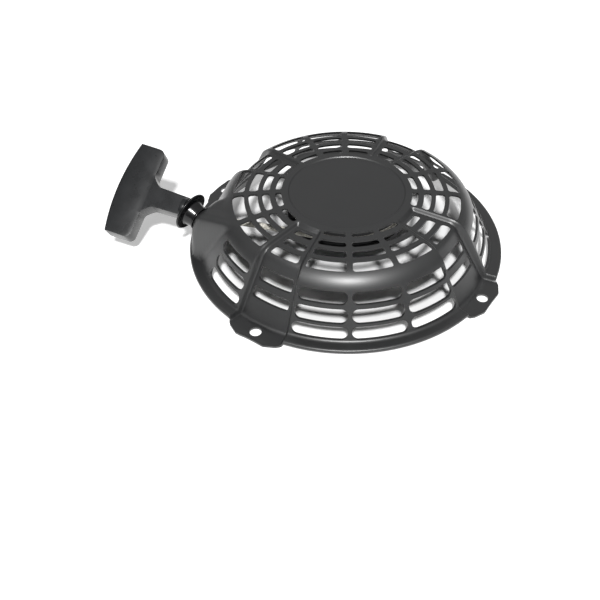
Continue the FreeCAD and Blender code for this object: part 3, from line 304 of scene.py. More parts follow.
guide_lip = pull_matrix(LIP_REACH, LIP_LEVEL, GUIDE_TILT, azimuth=GUIDE_AZIMUTH)
guide_place = guide_lip @ Matrix.Translation((-GUIDE_LENGTH * MM, 0, 0))
print("middle of the mouth", [round(value / MM, 1) for value in guide_place.translation])

# %% Soft steps and soft edges
def soft_step(value, low, high):
    share = np.clip((value - low) / (high - low), 0, 1)
    return share * share * (3 - 2 * share)


def soft_max(first, second, blend):
    share = np.clip(0.5 + 0.5 * (first - second) / blend, 0, 1)
    return second + (first - second) * share + blend * share * (1 - share)


def lug_edge(azimuth):
    """Distance from the axis to the lug's outline, in the direction of this azimuth."""
    turn = np.radians(np.abs(azimuth))
    straight = LUG_REACH / np.cos(turn)
    run, drop = LUG_REACH - LUG_ROOT_REACH, (LUG_ROOT - LUG_TIP) / 2
    slanted = (LUG_REACH * drop + LUG_TIP / 2 * run) / (drop * np.cos(turn) + run * np.sin(turn))
    return -soft_max(-straight, -slanted, LUG_CORNER)


print("a lug reaches", [round(float(lug_edge(azimuth)), 1) for azimuth in (0, 8, 16)], "mm")

# %% The boss
BOSS_ZONE, BOSS_CEILING, BOSS_FADE, HALVINGS = (40, 45), 4, (2, 18), 26
FACE_EDGE, TOP_EDGE, RIM_EDGE, FOOT_EDGE, SHEET_LEAN = 4.5, 5.0, 1.5, 2.0, 0.7


def boss_lift(x, y, level):
    """Raises the level of the sheet where the boss stands proud of the dome."""
    turn = math.radians(PULL_AZIMUTH)
    along = x * math.cos(turn) + y * math.sin(turn)
    across = np.abs(-x * math.sin(turn) + y * math.cos(turn) - PULL_OFFSET)
    mouth = guide_place.translation / MM
    skew, tilt, taper = (math.radians(angle) for angle in (GUIDE_AZIMUTH, GUIDE_TILT, BOSS_TAPER))
    behind = (mouth.x - x) * math.cos(skew) + (mouth.y - y) * math.sin(skew)
    reach = np.maximum(behind, LIP_REACH - GUIDE_LENGTH - along)
    climb = math.atan(BOSS_CLIMB / BOSS_DEPTH)
    spread = math.atan(BOSS_SPREAD / BOSS_DEPTH)
    near = (along > BOSS_ZONE[0]) & (across < BOSS_ZONE[1])
    low, high = level.copy(), np.full_like(level, CROWN_LEVEL + BOSS_CEILING)
    for _ in range(HALVINGS):
        middle = (low + high) / 2
        face = (middle - mouth.z) * math.sin(tilt) - behind * math.cos(tilt)
        top = (middle - mouth.z - BOSS_RISE - reach * math.tan(climb)) * math.cos(climb)
        half = BOSS_HALF + reach * math.tan(spread) + (mouth.z - middle) * math.tan(taper)
        side = (across - half) * math.cos(spread) * math.cos(taper)
        rim = np.hypot(x, y) - BOSS_LIMIT
        solid = soft_max(soft_max(face, side, FACE_EDGE), top, TOP_EDGE)
        solid = soft_max(solid, rim, RIM_EDGE)
        sheet = (middle - level) * SHEET_LEAN
        joined = -soft_max(-solid, -sheet, FOOT_EDGE)
        inside = joined < 0
        low, high = np.where(inside, middle, low), np.where(inside, high, middle)
    lifted = np.maximum(low, level)
    fade = soft_step(reach, BOSS_DEPTH + BOSS_FADE[0], BOSS_DEPTH - BOSS_FADE[1])
    return np.where(near, level + (lifted - level) * fade, level)


print("the boss is found to", CROWN_LEVEL / 2**HALVINGS, "mm")

# %% Pressing the points
SIDE_SOFT, END_SOFT, LEAST_RADIUS = 1.3, 1.4, 20


def press(columns, rows):
    """Places of all the blank's points, in mm, one line of points for each column."""
    radius, level = rows[:, 0], rows[:, 1]
    grid = []
    for azimuth, shift in columns:
        lean = np.arcsin(np.clip(shift / np.maximum(radius, LEAST_RADIUS), -1, 1))
        turn = azimuth + np.degrees(lean)
        nearest = np.round(turn / QUARTER) * QUARTER
        off = turn - nearest
        away = (np.abs(off) - CHANNEL_HALF) * np.pi / 180 * radius
        depth = 1 - soft_step(away, -SIDE_SOFT, SIDE_SOFT)
        depth = depth * soft_step(radius, CHANNEL_START - END_SOFT, CHANNEL_START + END_SOFT)
        edge, start = lug_edge(off), FOOT_RADIUS + 1
        index = np.arange(len(radius))
        first = np.argmax(radius > start)
        past = np.clip((index - first) / (len(radius) - 1 - first), 0, 1)
        floor_radius = np.where(index >= first, start + (edge - start) * past, radius)
        floor_level = np.interp(floor_radius, floor_rows[:, 0], floor_rows[:, 1])
        reach = radius + (floor_radius - radius) * depth
        height = level + (floor_level - level) * depth
        x, y = reach * np.cos(np.radians(turn)), reach * np.sin(np.radians(turn))
        lifted = boss_lift(x, y, height) if BOSS_SPAN[0] < azimuth < BOSS_SPAN[1] else height
        height = np.where(radius < RIM_RADIUS - RIM_BEND, lifted, height)
        outward, aside = reach * np.cos(np.radians(off)), reach * np.sin(np.radians(off))
        ring = soft_step(np.hypot(outward - BOLT_CIRCLE / 2, aside), *BOLT_RING)
        height = height + BOLT_RING_RISE * depth * ring * soft_step(reach, *LUG_FLAT)
        grid.append(np.stack([x, y, height], axis=1))
    return np.array(grid)


# %% Press the blank
DISC_RINGS = (0.75, 0.67, 0.5, 0.1)


def add_pressing():
    rows, count = len(dome_rows), len(columns)
    bpy.ops.mesh.primitive_grid_add(x_subdivisions=count, y_subdivisions=rows - 1, size=1)
    piece = name_piece("pressed_case")
    spots = np.array([vertex.co[:2] for vertex in piece.data.vertices]) + 0.5
    column = np.round(spots[:, 0] * count).astype(int) % count
    row = np.round(spots[:, 1] * (rows - 1)).astype(int)
    grid = press(columns, dome_rows)
    piece.data.vertices.foreach_set("co", (grid[column, row] * MM).ravel())
    piece.data.update()
    edit(piece)
    bpy.ops.mesh.select_all(action="SELECT")
    bpy.ops.mesh.remove_doubles(threshold=CLOSE * MM)
    inside = min(radius for radius, level in dome_rows) + CLOSE
    pick(piece, "edges", lambda spots, item: max(spot.xy.length for spot in spots) < inside)
    for share in DISC_RINGS:
        bpy.ops.mesh.extrude_region_move()
        bpy.ops.transform.resize(value=(share, share, 1), center_override=(0, 0, DISC_LEVEL * MM))
    bpy.ops.mesh.merge(type="CENTER")
    bpy.ops.object.mode_set(mode="OBJECT")
    tidy_normals(piece)
    if sum(face.normal.z * face.area for face in piece.data.polygons) < 0:
        edit(piece)
        bpy.ops.mesh.select_all(action="SELECT")
        bpy.ops.mesh.flip_normals()
        bpy.ops.object.mode_set(mode="OBJECT")
        print("the sheet was turned face up")
    return piece


deselect_all()
pressed_case = add_pressing()
print("faces of the pressing", len(pressed_case.data.polygons))

# %% [markdown]
# ## Thickness and slots
#
# The pressing becomes sheet metal with a Solidify modifier. The real slots, which let cooling
# air in, are punched through it, and so are these, all at once, with a Boolean. They could be
# faces left out of the grid, but then each slot would end on a row or a column of it. A punch
# starts as a primitive whose corners are rounded by the bevel operator. A punch of the crown
# is bent round the axis afterwards, with its two sides parallel to those of its sector, which
# leaves bars of even width between the slots.

# %% Punches of the crown
WEB, WALL_WEB, CHANNEL_MARGIN, SLOT_CORNER = 3.8, 2.8, 3.4, 1.9
PUNCH_FOOT, PUNCH_HEIGHT, PUNCH_IN, PUNCH_OUT = 34, 20, 8.0, 15.0
HOLE_DEPTH, MOUTH_DEPTH, STEEP_FROM, SHORT_ROW_TURN, FIT = 12, 20, 76, 8.3, 0.05
CROWN_ROWS = [(46.8, 51.2), (55.2, 60.5), (63.7, 70.2), (73.4, 81.7)]
CHANNEL_ROWS = [(52.0, 57.3), (62.0, 68.5), (72.5, 79.5)]
WALL_ROWS = [(27.4, 35.4), (15.9, 24.9), (6.4, 14.3)]
CHANNEL_WALL_ROWS = [(25.4, 34.0), (14.6, 21.4)]


def crown_punch(azimuth, half_angle, margin, row):
    """A strip as long as the slot is wide, bevelled, raised, and bent round the axis."""
    inner, outer = row
    middle = (inner + outer) / 2
    reach = math.radians(half_angle) * middle - margin
    bpy.ops.mesh.primitive_grid_add(x_subdivisions=8, y_subdivisions=1, size=1)
    piece = name_piece("punch")
    for vertex in piece.data.vertices:
        vertex.co.x *= 2 * reach * MM
        vertex.co.y *= (outer - inner) * MM
    edit(piece)
    pick(piece, "verts", lambda spots, item: abs(spots[0].x) > reach - CLOSE)
    bpy.ops.mesh.bevel(affect="VERTICES", offset=SLOT_CORNER * MM, segments=5)
    bpy.ops.mesh.select_all(action="SELECT")
    push(z=PUNCH_HEIGHT)
    bpy.ops.object.mode_set(mode="OBJECT")
    for vertex in piece.data.vertices:
        radius = middle + vertex.co.y / MM
        half = math.radians(half_angle) - math.asin(margin / radius)
        turn = math.radians(azimuth) + vertex.co.x / MM / reach * half
        vertex.co.x = radius * math.cos(turn) * MM
        vertex.co.y = radius * math.sin(turn) * MM
        vertex.co.z += PUNCH_FOOT * MM
    return piece


# %% Punches of the wall
def wall_punch(azimuth, radius, left, right, row, corner):
    """A bar with rounded long edges, pushed through the wall from the axis outwards."""
    low, high = row
    bpy.ops.mesh.primitive_cube_add(size=1)
    piece = name_piece("punch")
    piece.scale = ((PUNCH_IN + PUNCH_OUT) * MM, (right - left) * MM, (high - low) * MM)
    middle = radius + (PUNCH_OUT - PUNCH_IN) / 2
    piece.location = (middle * MM, (left + right) / 2 * MM, (low + high) / 2 * MM)
    bake_place(piece)
    edit(piece)
    pick(piece, "edges", lambda spots, item: abs(spots[0].x - spots[1].x) > PUNCH_OUT)
    bpy.ops.mesh.bevel(affect="EDGES", offset=corner * MM, segments=6)
    bpy.ops.object.mode_set(mode="OBJECT")
    piece.rotation_euler.z = math.radians(azimuth)
    bake_place(piece)
    return piece


def radius_at(rows, level):
    """Where a falling profile passes a level, outside the shoulder."""
    outside = rows[rows[:, 0] > STEEP_FROM]
    return float(np.interp(-level, -outside[:, 1], outside[:, 0]))


print("a bar goes", PUNCH_IN, "mm into the case and", PUNCH_OUT, "mm out of it")


# %% The whole set of punches
OUTWARD = Matrix.Rotation(math.pi / 2, 4, "Y")


def bolt_punch(azimuth):
    size = {"radius": BOLT_HOLE / 2 * MM, "depth": HOLE_DEPTH * MM}
    bpy.ops.mesh.primitive_cylinder_add(vertices=48, **size)
    hole = name_piece("punch")
    turn, reach = math.radians(azimuth), BOLT_CIRCLE / 2 * MM
    hole.location = (reach * math.cos(turn), reach * math.sin(turn), 0)
    bake_place(hole)
    return hole


def mouth_punch():
    size = {"radius": GUIDE_HOLE * MM, "depth": MOUTH_DEPTH * MM}
    bpy.ops.mesh.primitive_cylinder_add(vertices=64, **size)
    hole = name_piece("punch")
    hole.matrix_world = guide_place @ OUTWARD
    bake_place(hole)
    return hole


def punches():
    sector = 360 / SECTORS
    cutters = []
    for index in range(SECTORS):
        azimuth = index * sector
        if index % (SECTORS // CHANNELS) == 0:
            for row in CHANNEL_ROWS:
                cutters.append(crown_punch(azimuth, CHANNEL_HALF, CHANNEL_MARGIN, row))
            for row in CHANNEL_WALL_ROWS:
                radius = radius_at(floor_rows, sum(row) / 2)
                half = radius * math.tan(math.radians(CHANNEL_HALF)) - CHANNEL_MARGIN
                cutters.append(wall_punch(azimuth, radius, -half, half, row, SLOT_CORNER))
            continue
        for row in CROWN_ROWS:
            cutters.append(crown_punch(azimuth, sector / 2, WEB / 2, row))
        if abs(azimuth - PULL_AZIMUTH - BOSS_TURN) < sector / 2:
            continue
        for row in WALL_ROWS:
            radius = radius_at(dome_rows, sum(row) / 2)
            half = radius * math.sin(math.radians(sector / 2)) - WALL_WEB / 2
            right = half
            if abs(azimuth - PULL_AZIMUTH - SHORT_ROW_TURN) < sector / 2:
                turn = PULL_AZIMUTH + SHORT_ROW_TURN - azimuth
                right = radius * math.tan(math.radians(turn))
            corner = (row[1] - row[0]) / 2 - FIT
            cutters.append(wall_punch(azimuth, radius, -half, right, row, corner))
    cutters += [bolt_punch(index * QUARTER) for index in range(CHANNELS)]
    return cutters + [mouth_punch()]


# %% Punch the sheet
apply_modifier(pressed_case, "SOLIDIFY", thickness=GAUGE * MM, offset=-1)
cutters = punches()
print("punches", len(cutters))
deselect_all()
for cutter in cutters:
    cutter.select_set(True)
bpy.context.view_layer.objects.active = cutters[0]
bpy.ops.object.join()
punch_set = bpy.context.object
tidy_normals(punch_set)
apply_modifier(pressed_case, "BOOLEAN", operation="DIFFERENCE", object=punch_set, solver="EXACT")
bpy.data.objects.remove(punch_set, do_unlink=True)
print("punched case", len(pressed_case.data.polygons))
smooth(pressed_case, PRESSED)
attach(pressed_case, "case")
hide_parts("starter_case")

# %% [markdown]
# ## The rope guide
#
# The guide is a round plastic eyelet: a shank in the case, a small collar, and a trumpet that
# lets the rope bend without chafing. A round shape can be spun from a profile, or grown ring
# by ring from a circle with extrude and resize. The second way keeps every ring a clean loop,
# so the last ring can be bridged back to the first.

# %% A lathe made of extrusions
def turned(name, corners, step, segments=96):
    """A closed ring about Z, grown loop by loop along a chain of (radius, level, bend)."""
    chain = bent_chain(corners, step)
    start = chain[0]
    place = (0, 0, start.y * MM)
    bpy.ops.mesh.primitive_circle_add(vertices=segments, radius=start.x * MM, location=place)
    piece = name_piece(name)
    bake_place(piece)
    edit(piece)
    bpy.ops.mesh.select_all(action="SELECT")
    for before, after in zip(chain, chain[1:]):
        push(z=after.y - before.y)
        scale = after.x / before.x
        bpy.ops.transform.resize(value=(scale, scale, 1), center_override=(0, 0, after.y * MM))
    ends = [Vector((start.x, start.y)), Vector((chain[-1].x, chain[-1].y))]

    def on_end(spots, item):
        rings = [Vector((spot.xy.length, spot.z)) for spot in spots]
        return any(all((ring - end).length < CLOSE for ring in rings) for end in ends)

    pick(piece, "edges", on_end)
    bpy.ops.mesh.bridge_edge_loops()
    bpy.ops.object.mode_set(mode="OBJECT")
    tidy_normals(piece)
    return piece


def set_place(piece, matrix):
    piece.matrix_world = matrix
    bake_place(piece)


# %% The guide
# Radius, distance from the case's face and bend, from the shank over the lip and down the bore.
GUIDE_PROFILE = [
    (6.2, -5, 0),
    (GUIDE_HOLE - FIT, -5, 0.7),
    (GUIDE_HOLE - FIT, 0.1, 0.1),
    (8.9, 0.1, 0.3),
    (8.9, 1.3, 0.5),
    (7.9, 1.6, 0.3),
    (9.6, 7.9, 0.8),
    (13.4, 8.3, 1.0),
    (14.6, 8.9, 0.6),
    (14.4, 10.3, 0.6),
    (12.2, 9.9, 2.0),
    (8.4, 8.7, 3.5),
    (5.0, 4.0, 3.5),
    (5.0, -5, 0),
]
rope_guide = turned("rope_guide_turned", GUIDE_PROFILE, step=0.35)
set_place(rope_guide, guide_place @ OUTWARD)
smooth(rope_guide, TURNED)
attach(rope_guide, "case")
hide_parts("rope_guide")
print("guide", len(rope_guide.data.polygons))

# %% [markdown]
# ## The T-handle
#
# The handle is moulded in one piece: a short flat stem and a grip across it, with a long bow on
# the outer edge. It could be two rounded boxes joined by a Boolean, but the mould has one
# smooth skin. So it starts as a cube for the stem. Extruding the far face gives the middle of
# the grip, and extruding that block's two sides gives the arms. A Bevel modifier driven by
# edge weights then rounds the inner edges widely, where fingers pull, and the outer ones less.

# %% Sizes of the handle
HANDLE_RISE, HANDLE_ROLL, HANDLE_GAP, HANDLE_LIFT = 7.5, 33.3, 3.1, 1.0
GRIP_INNER, GRIP_OUTER, GRIP_BOW = 31.9, 50.7, 4.2
GRIP_LENGTH, GRIP_THICK, GRIP_ROUND, GRIP_EDGE = 69.0, 15.4, 2.4, 1.2
GRIP_CROWN, GRIP_CORNER, STEM_THIN = 1.4, 4.2, 2.0
STEM_TIP, STEM_ROOT, STEM_CORNER = 14.0, 15.6, 7.0
COLLAR_RADIUS, COLLAR_LENGTH, COLLAR_EDGE = 8.4, 3.4, 0.5
ROPE, BORE_ROOM, KNOT_SEAT, KNOT_ROOM, PAST_END = 4.5, 0.6, 40.8, 6.6, 5
PLUG_GAUGE, PLUG_SINK, PLUG_RING, PLUG_DISH, PLUG_EDGE = 2.5, 1, 1.6, 0.6, 0.25
BOW_STRIPS, FULLNESS_STRIPS, FOLD = 24, 18, 20
outer_end = GRIP_OUTER + GRIP_BOW
handle_place = pull_matrix(LIP_REACH, LIP_LEVEL + HANDLE_LIFT, HANDLE_RISE, -HANDLE_ROLL)
print("handle", round(outer_end - HANDLE_GAP, 1), "mm long,", GRIP_LENGTH, "mm across")


# %% The blank of the handle
def facing(way):
    """A test for faces whose normal points this way."""
    goal = Vector(way)
    return lambda spots, item: item.normal.dot(goal) > 0.99


def grip_side(side):
    """A test for the face at one side of the grip's middle, and not of the stem."""
    sideways = facing((0, side, 0))
    return lambda spots, item: sideways(spots, item) and all(spot.x > GRIP_INNER - 1 for spot in spots)


def handle_blank():
    bpy.ops.mesh.primitive_cube_add(size=1)
    piece = name_piece("handle_moulding")
    length, half = GRIP_INNER - HANDLE_GAP, STEM_ROOT / 2
    piece.scale = (length * MM, STEM_ROOT * MM, GRIP_THICK * MM)
    piece.location.x = (HANDLE_GAP + length / 2) * MM
    bake_place(piece)
    edit(piece)
    pick(piece, "faces", facing((1, 0, 0)))
    push(x=GRIP_OUTER - GRIP_INNER)
    for side in (-1, 1):
        pick(piece, "faces", grip_side(side))
        push(y=side * (GRIP_LENGTH / 2 - half))
    pick(piece, "faces", lambda spots, item: max(spot.x for spot in spots) < HANDLE_GAP + NEAR)
    narrow = STEM_TIP / STEM_ROOT
    bpy.ops.transform.resize(value=(1, narrow, 1), center_override=(HANDLE_GAP * MM, 0, 0))
    return piece


def upright_edge_at(x, y):
    """A test for edges along Z at a place in mm."""
    return lambda spots, item: all(math.hypot(spot.x - x, abs(spot.y) - y) < NEAR for spot in spots)


handle = handle_blank()
pick(handle, "edges", upright_edge_at(GRIP_INNER, STEM_ROOT / 2))
bpy.ops.mesh.bevel(affect="EDGES", offset=STEM_CORNER * MM, segments=10)
pick(handle, "edges", upright_edge_at(GRIP_INNER, GRIP_LENGTH / 2))
bpy.ops.mesh.bevel(affect="EDGES", offset=GRIP_CORNER * MM, segments=6)
print("faces of the blank", len(handle.data.polygons))

# %% [markdown]
# The outer edge of the grip is one shallow bow. The faces there are cut into strips along the
# grip, and the rows of new points are pushed out along a circle.

# %% Bow of the grip
def cut_into_strips(start, stop, count, way):
    """Cuts the mesh in edit mode across a direction, at even places in mm."""
    for station in np.linspace(start, stop, count + 1)[1:-1]:
        bpy.ops.mesh.select_all(action="SELECT")
        bpy.ops.mesh.bisect(plane_co=[share * station * MM for share in way], plane_no=way)
    bpy.ops.object.mode_set(mode="OBJECT")


cut_into_strips(-GRIP_LENGTH / 2, GRIP_LENGTH / 2, BOW_STRIPS, (0, 1, 0))
bow_radius = ((GRIP_LENGTH / 2) ** 2 + GRIP_BOW**2) / (2 * GRIP_BOW)
for vertex in handle.data.vertices:
    across = vertex.co.y / MM
    if vertex.co.x / MM > GRIP_OUTER - NEAR:
        vertex.co.x += (GRIP_BOW - bow_radius + math.sqrt(bow_radius**2 - across**2)) * MM
tidy_normals(handle)
print("the bow has a radius of", round(bow_radius), "mm")

# %% [markdown]
# The broad faces aren't flat: the grip is fullest along its middle, and the stem gets thinner
# towards the rope. Cuts across the handle give the faces rows of points to lower.

# %% Fullness of the grip
edit(handle)
cut_into_strips(HANDLE_GAP, outer_end, FULLNESS_STRIPS, (1, 0, 0))
grip_middle = (GRIP_INNER + outer_end) / 2


def lowered(along):
    """How much thinner than its middle the handle is, at a place along it, in mm."""
    if along < GRIP_INNER:
        return np.interp(along, (HANDLE_GAP, GRIP_INNER), (STEM_THIN, GRIP_CROWN))
    return GRIP_CROWN * min(((along - grip_middle) / (grip_middle - GRIP_INNER)) ** 2, 1)


for vertex in handle.data.vertices:
    vertex.co.z -= math.copysign(lowered(vertex.co.x / MM) / 2 * MM, vertex.co.z)
tidy_normals(handle)
print("faces of the full handle", len(handle.data.polygons))

# %% Rounded edges
def sharp_edges(piece):
    """Indices of the edges whose two faces meet at more than the angle of a fold."""
    normals = {}
    for face in piece.data.polygons:
        for key in face.edge_keys:
            normals.setdefault(key, []).append(face.normal.copy())
    wanted = set()
    for edge in piece.data.edges:
        pair = normals.get(edge.key, [])
        if len(pair) == 2 and pair[0].angle(pair[1]) > math.radians(FOLD):
            wanted.add(edge.index)
    return wanted


sharp = sharp_edges(handle)
weights = handle.data.attributes.new("bevel_weight_edge", "FLOAT", "EDGE")
for edge in handle.data.edges:
    if edge.index not in sharp:
        continue
    ends = [Vector(handle.data.vertices[index].co) / MM for index in edge.vertices]
    middle = (ends[0] + ends[1]) / 2
    outer = middle.x > GRIP_OUTER - NEAR
    at_stem = middle.x < HANDLE_GAP + NEAR
    weights.data[edge.index].value = GRIP_EDGE / GRIP_ROUND if outer or at_stem else 1
apply_modifier(handle, "BEVEL", width=GRIP_ROUND * MM, segments=6, limit_method="WEIGHT")
print("faces of the rounded handle", len(handle.data.polygons))

# %% [markdown]
# A round collar closes the stem's end, and the rope comes out of a bore through its middle. At
# the other side a round room takes the knot, and a plug is pressed in over it. The collar is a
# second solid joined with a Boolean, and the bore and the room are cut the same way.

# %% Collar, bore and room
def rod(name, radius, start, stop, segments=64):
    """A round bar along X, from start to stop."""
    size = {"radius": radius * MM, "depth": (stop - start) * MM}
    bpy.ops.mesh.primitive_cylinder_add(vertices=segments, **size)
    piece = name_piece(name)
    piece.matrix_world = Matrix.Translation(Vector((start + stop, 0, 0)) * MM / 2) @ OUTWARD
    bake_place(piece)
    return piece


def combine(piece, tool, operation):
    apply_modifier(piece, "BOOLEAN", operation=operation, object=tool, solver="EXACT")
    bpy.data.objects.remove(tool, do_unlink=True)


collar = rod("collar", COLLAR_RADIUS, HANDLE_GAP, HANDLE_GAP + COLLAR_LENGTH)
edit(collar)
pick(collar, "edges", lambda spots, item: abs(spots[0].x - spots[1].x) < CLOSE)
bpy.ops.mesh.bevel(affect="EDGES", offset=COLLAR_EDGE * MM, segments=3)
bpy.ops.object.mode_set(mode="OBJECT")
tidy_normals(handle)
combine(handle, collar, "UNION")
combine(handle, rod("bore", ROPE / 2 + BORE_ROOM, 0, outer_end), "DIFFERENCE")
combine(handle, rod("room", KNOT_ROOM, KNOT_SEAT, outer_end + PAST_END), "DIFFERENCE")
set_place(handle, handle_place)
smooth(handle, MOULDED)
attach(handle, "handle")
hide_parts("handle_grip")
print("faces of the handle", len(handle.data.polygons))

# %% [markdown]
# The plug is a small moulded disc with a shallow dish, pressed in behind the knot. A cylinder
# with one face inset and pushed in gives it, and a narrow bevel catches the light on its rim.

# %% The plug
plug_top = outer_end - PLUG_SINK
plug = rod("handle_plug_moulded", KNOT_ROOM - FIT, plug_top - PLUG_GAUGE, plug_top)
edit(plug)
pick(plug, "faces", facing((1, 0, 0)))
bpy.ops.mesh.inset(thickness=PLUG_RING * MM)
push(x=-PLUG_DISH)
bpy.ops.object.mode_set(mode="OBJECT")
apply_modifier(plug, "BEVEL", width=PLUG_EDGE * MM, segments=2, limit_method="ANGLE")
set_place(plug, handle_place)
smooth(plug, MOULDED)
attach(plug, "handle")
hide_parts("handle_plug")
print("faces of the plug", len(plug.data.polygons))

# %% [markdown]
# ## Rope
#
# The rope is a braid, and its free run goes from the reel, through the guide, to the knot in the
# handle. A cylinder would be enough for a straight pull, but this rope bends a little inside the
# guide, so it is a smooth curve through a few places, with a round section.

# %% The run of rope
def rope_along(name, spots):
    """A round rope along a smooth curve through a few points given in mm."""
    curve = bpy.data.curves.new(name, "CURVE")
    curve.dimensions = "3D"
    curve.bevel_depth = ROPE / 2 * MM
    curve.bevel_resolution = 6
    curve.resolution_u = 16
    spline = curve.splines.new("NURBS")
    spline.points.add(len(spots) - 1)
    for item, spot in zip(spline.points, spots):
        item.co = (*(Vector(spot) * MM), 1)
    spline.order_u = 3
    spline.use_endpoint_u = True
    piece = bpy.data.objects.new(name, curve)
    bpy.context.scene.collection.objects.link(piece)
    activate(piece)
    bpy.ops.object.convert(target="MESH")
    return piece


def on_pull(along, level, aside=0.0):
    """A place in mm, given along the pull's line, up, and aside from the line."""
    turn, across = math.radians(PULL_AZIMUTH), PULL_OFFSET + aside
    x = along * math.cos(turn) - across * math.sin(turn)
    y = along * math.sin(turn) + across * math.cos(turn)
    return (x, y, level)


# Stops along the pull, first inside the case, then in the guide with level and offset, and
# last in the handle, up to the seat of the knot.
ROPE_LEVEL, ROPE_FALL, FIRST_STOPS = 35.2, 0.05, (0, 30, 60)
GUIDE_STOPS = [(82, 30.6, 1.2), (LIP_REACH - 8.2, 30.2, 1.6)]
HANDLE_STOPS, BLEND_FROM = (4, 20, KNOT_SEAT), (70, 31)
rise = math.tan(math.radians(HANDLE_RISE))
handle_level = LIP_LEVEL + HANDLE_LIFT
rope_spots = [on_pull(stop, ROPE_LEVEL - ROPE_FALL * stop) for stop in FIRST_STOPS]
rope_spots += [on_pull(*stop) for stop in GUIDE_STOPS]
rope_spots += [on_pull(LIP_REACH + stop, handle_level + stop * rise) for stop in HANDLE_STOPS]
rope = rope_along("rope_run_braided", rope_spots)
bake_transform(rope)
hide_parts("rope_run")
print("faces of the run", len(rope.data.polygons))

# %% [markdown]
# The turns on the reel are the same rope, seen only through the slots. A torus for each turn
# would be simple, but its rings wouldn't join. So one long curve is wound in code: it climbs
# the groove, steps out by almost one rope at each end, falls again, and leaves as the run.

# %% The turns on the reel
LAYERS, TURNS_IN_LAYER, TURN_POINTS, NESTING = 3, 1.36, 18, 0.6
COIL_LOW, COIL_HIGH, CROSS_FROM, LEAVE_FROM = 32.7, 38.7, 0.86, 0.94


def coil_spots():
    """Layers of turns that climb and fall in the groove, and end where the free run starts."""
    total = LAYERS * TURNS_IN_LAYER
    count = round(total * TURN_POINTS)
    spots = []
    for step in range(count + 1):
        share = step / count
        layer = share * LAYERS
        whole = min(int(layer), LAYERS - 1)
        part = layer - whole
        crossing = soft_step(part, CROSS_FROM, 1.0) if whole + 1 < LAYERS else 0
        radius = PULL_OFFSET - (ROPE - NESTING) * (LAYERS - 1 - whole - crossing)
        climb = part if whole % 2 else 1 - part
        level = COIL_LOW + (COIL_HIGH - COIL_LOW) * climb
        if share > LEAVE_FROM:
            level += (ROPE_LEVEL - COIL_LOW) * soft_step(share, LEAVE_FROM, 1.0)
        turn = math.radians(PULL_AZIMUTH + 90) + 2 * math.pi * total * (1 - share)
        spots.append((radius * math.cos(turn), radius * math.sin(turn), level))
    return spots


coil = rope_along("rope_turns_braided", coil_spots())
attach(coil, "reel")
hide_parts("rope_wound")
print("faces of the coil", len(coil.data.polygons))

# %% [markdown]
# ## Finishes
#
# Each finish starts from the real material and how its surface was made. Colours are written as
# sRGB codes and turned to linear once. Patterns could be painted, but noise that reads Object
# coordinates has no seams, and its scale is one over a real size. Most of a noise lies
# between 0.3 and 0.7, so that part of it is stretched to give the range of shine.

# %% Helpers for materials
MOST_OF_NOISE = {"From Min": 0.3, "From Max": 0.7}


def linear(code):
    """The linear colour of an sRGB code such as #47484a."""
    shares = [int(code[index : index + 2], 16) / 255 for index in (1, 3, 5)]
    curved = [((share + 0.055) / 1.055) ** 2.4 for share in shares]
    return (*(c / 12.92 if c <= 0.04045 else bent for c, bent in zip(shares, curved)), 1.0)


def connect(tree, item, inputs):
    """Gives a node's inputs their values, or links them where a socket is given."""
    for key, given in inputs.items():
        if isinstance(given, bpy.types.NodeSocket):
            tree.links.new(given, item.inputs[key])
        else:
            item.inputs[key].default_value = given


def add(tree, kind, inputs=None, **settings):
    """Adds a node with its settings and its inputs."""
    item = tree.nodes.new("ShaderNode" + kind)
    for key, setting in settings.items():
        setattr(item, key, setting)
    connect(tree, item, inputs or {})
    return item


def new_finish(name, colour, roughness, metallic=0.0):
    material = bpy.data.materials.new(name)
    material.use_nodes = True
    shader = material.node_tree.nodes["Principled BSDF"]
    settings = {"Base Color": linear(colour), "Roughness": roughness, "Metallic": metallic}
    connect(material.node_tree, shader, settings)
    place = add(material.node_tree, "TexCoord").outputs["Object"]
    return material, material.node_tree, shader, place


def dress(material, *pieces):
    for piece in pieces:
        item = bpy.data.objects[piece] if isinstance(piece, str) else piece
        item.data.materials.clear()
        item.data.materials.append(material)
        print(item.name, "is dressed in", material.name)


# %% [markdown]
# ## Black paint on the pressed steel
#
# The case wears an electrocoat, a black paint that clings to the steel by electric charge and is
# then baked. It is nearly black and satin, and its skin is a little shinier than its body.
# One rough surface gives a highlight that is either small and bright or wide and dull. The
# real one is wide with a bright middle, so the shader's coat lies over a rougher base. Fine
# orange peel breaks the highlight on the shoulder, and slow clouds keep the black from
# looking flat.

# %% Black paint
PAINT_PEEL, PAINT_PEEL_DEPTH, PAINT_CLOUD = 0.9, 0.022, 24.0
black_paint, tree, shader, place = new_finish("baked black electrocoat on steel", "#0f1011", 0.33)
bumpy = {"Vector": place, "Scale": 1 / (PAINT_PEEL * MM), "Detail": 3.0}
peel = add(tree, "TexNoise", bumpy).outputs[0]
peeled = {"Height": peel, "Distance": PAINT_PEEL_DEPTH * MM, "Strength": 0.8}
dents = add(tree, "Bump", peeled).outputs["Normal"]
cloudy = {"Vector": place, "Scale": 1 / (PAINT_CLOUD * MM), "Detail": 2.0}
cloud = add(tree, "TexNoise", cloudy).outputs[0]
blacks = {"Factor": cloud, "A": linear("#0c0d0e"), "B": linear("#151617")}
shade = add(tree, "Mix", blacks, data_type="RGBA").outputs["Result"]
satin = {"Value": cloud, **MOST_OF_NOISE, "To Min": 0.46, "To Max": 0.54}
shine = add(tree, "MapRange", satin).outputs["Result"]
connect(tree, shader, {"Base Color": shade, "Roughness": shine, "Normal": dents})
connect(tree, shader, {"Coat Weight": 0.8, "Coat IOR": 1.6, "Coat Roughness": 0.38})
connect(tree, shader, {"Coat Normal": dents})
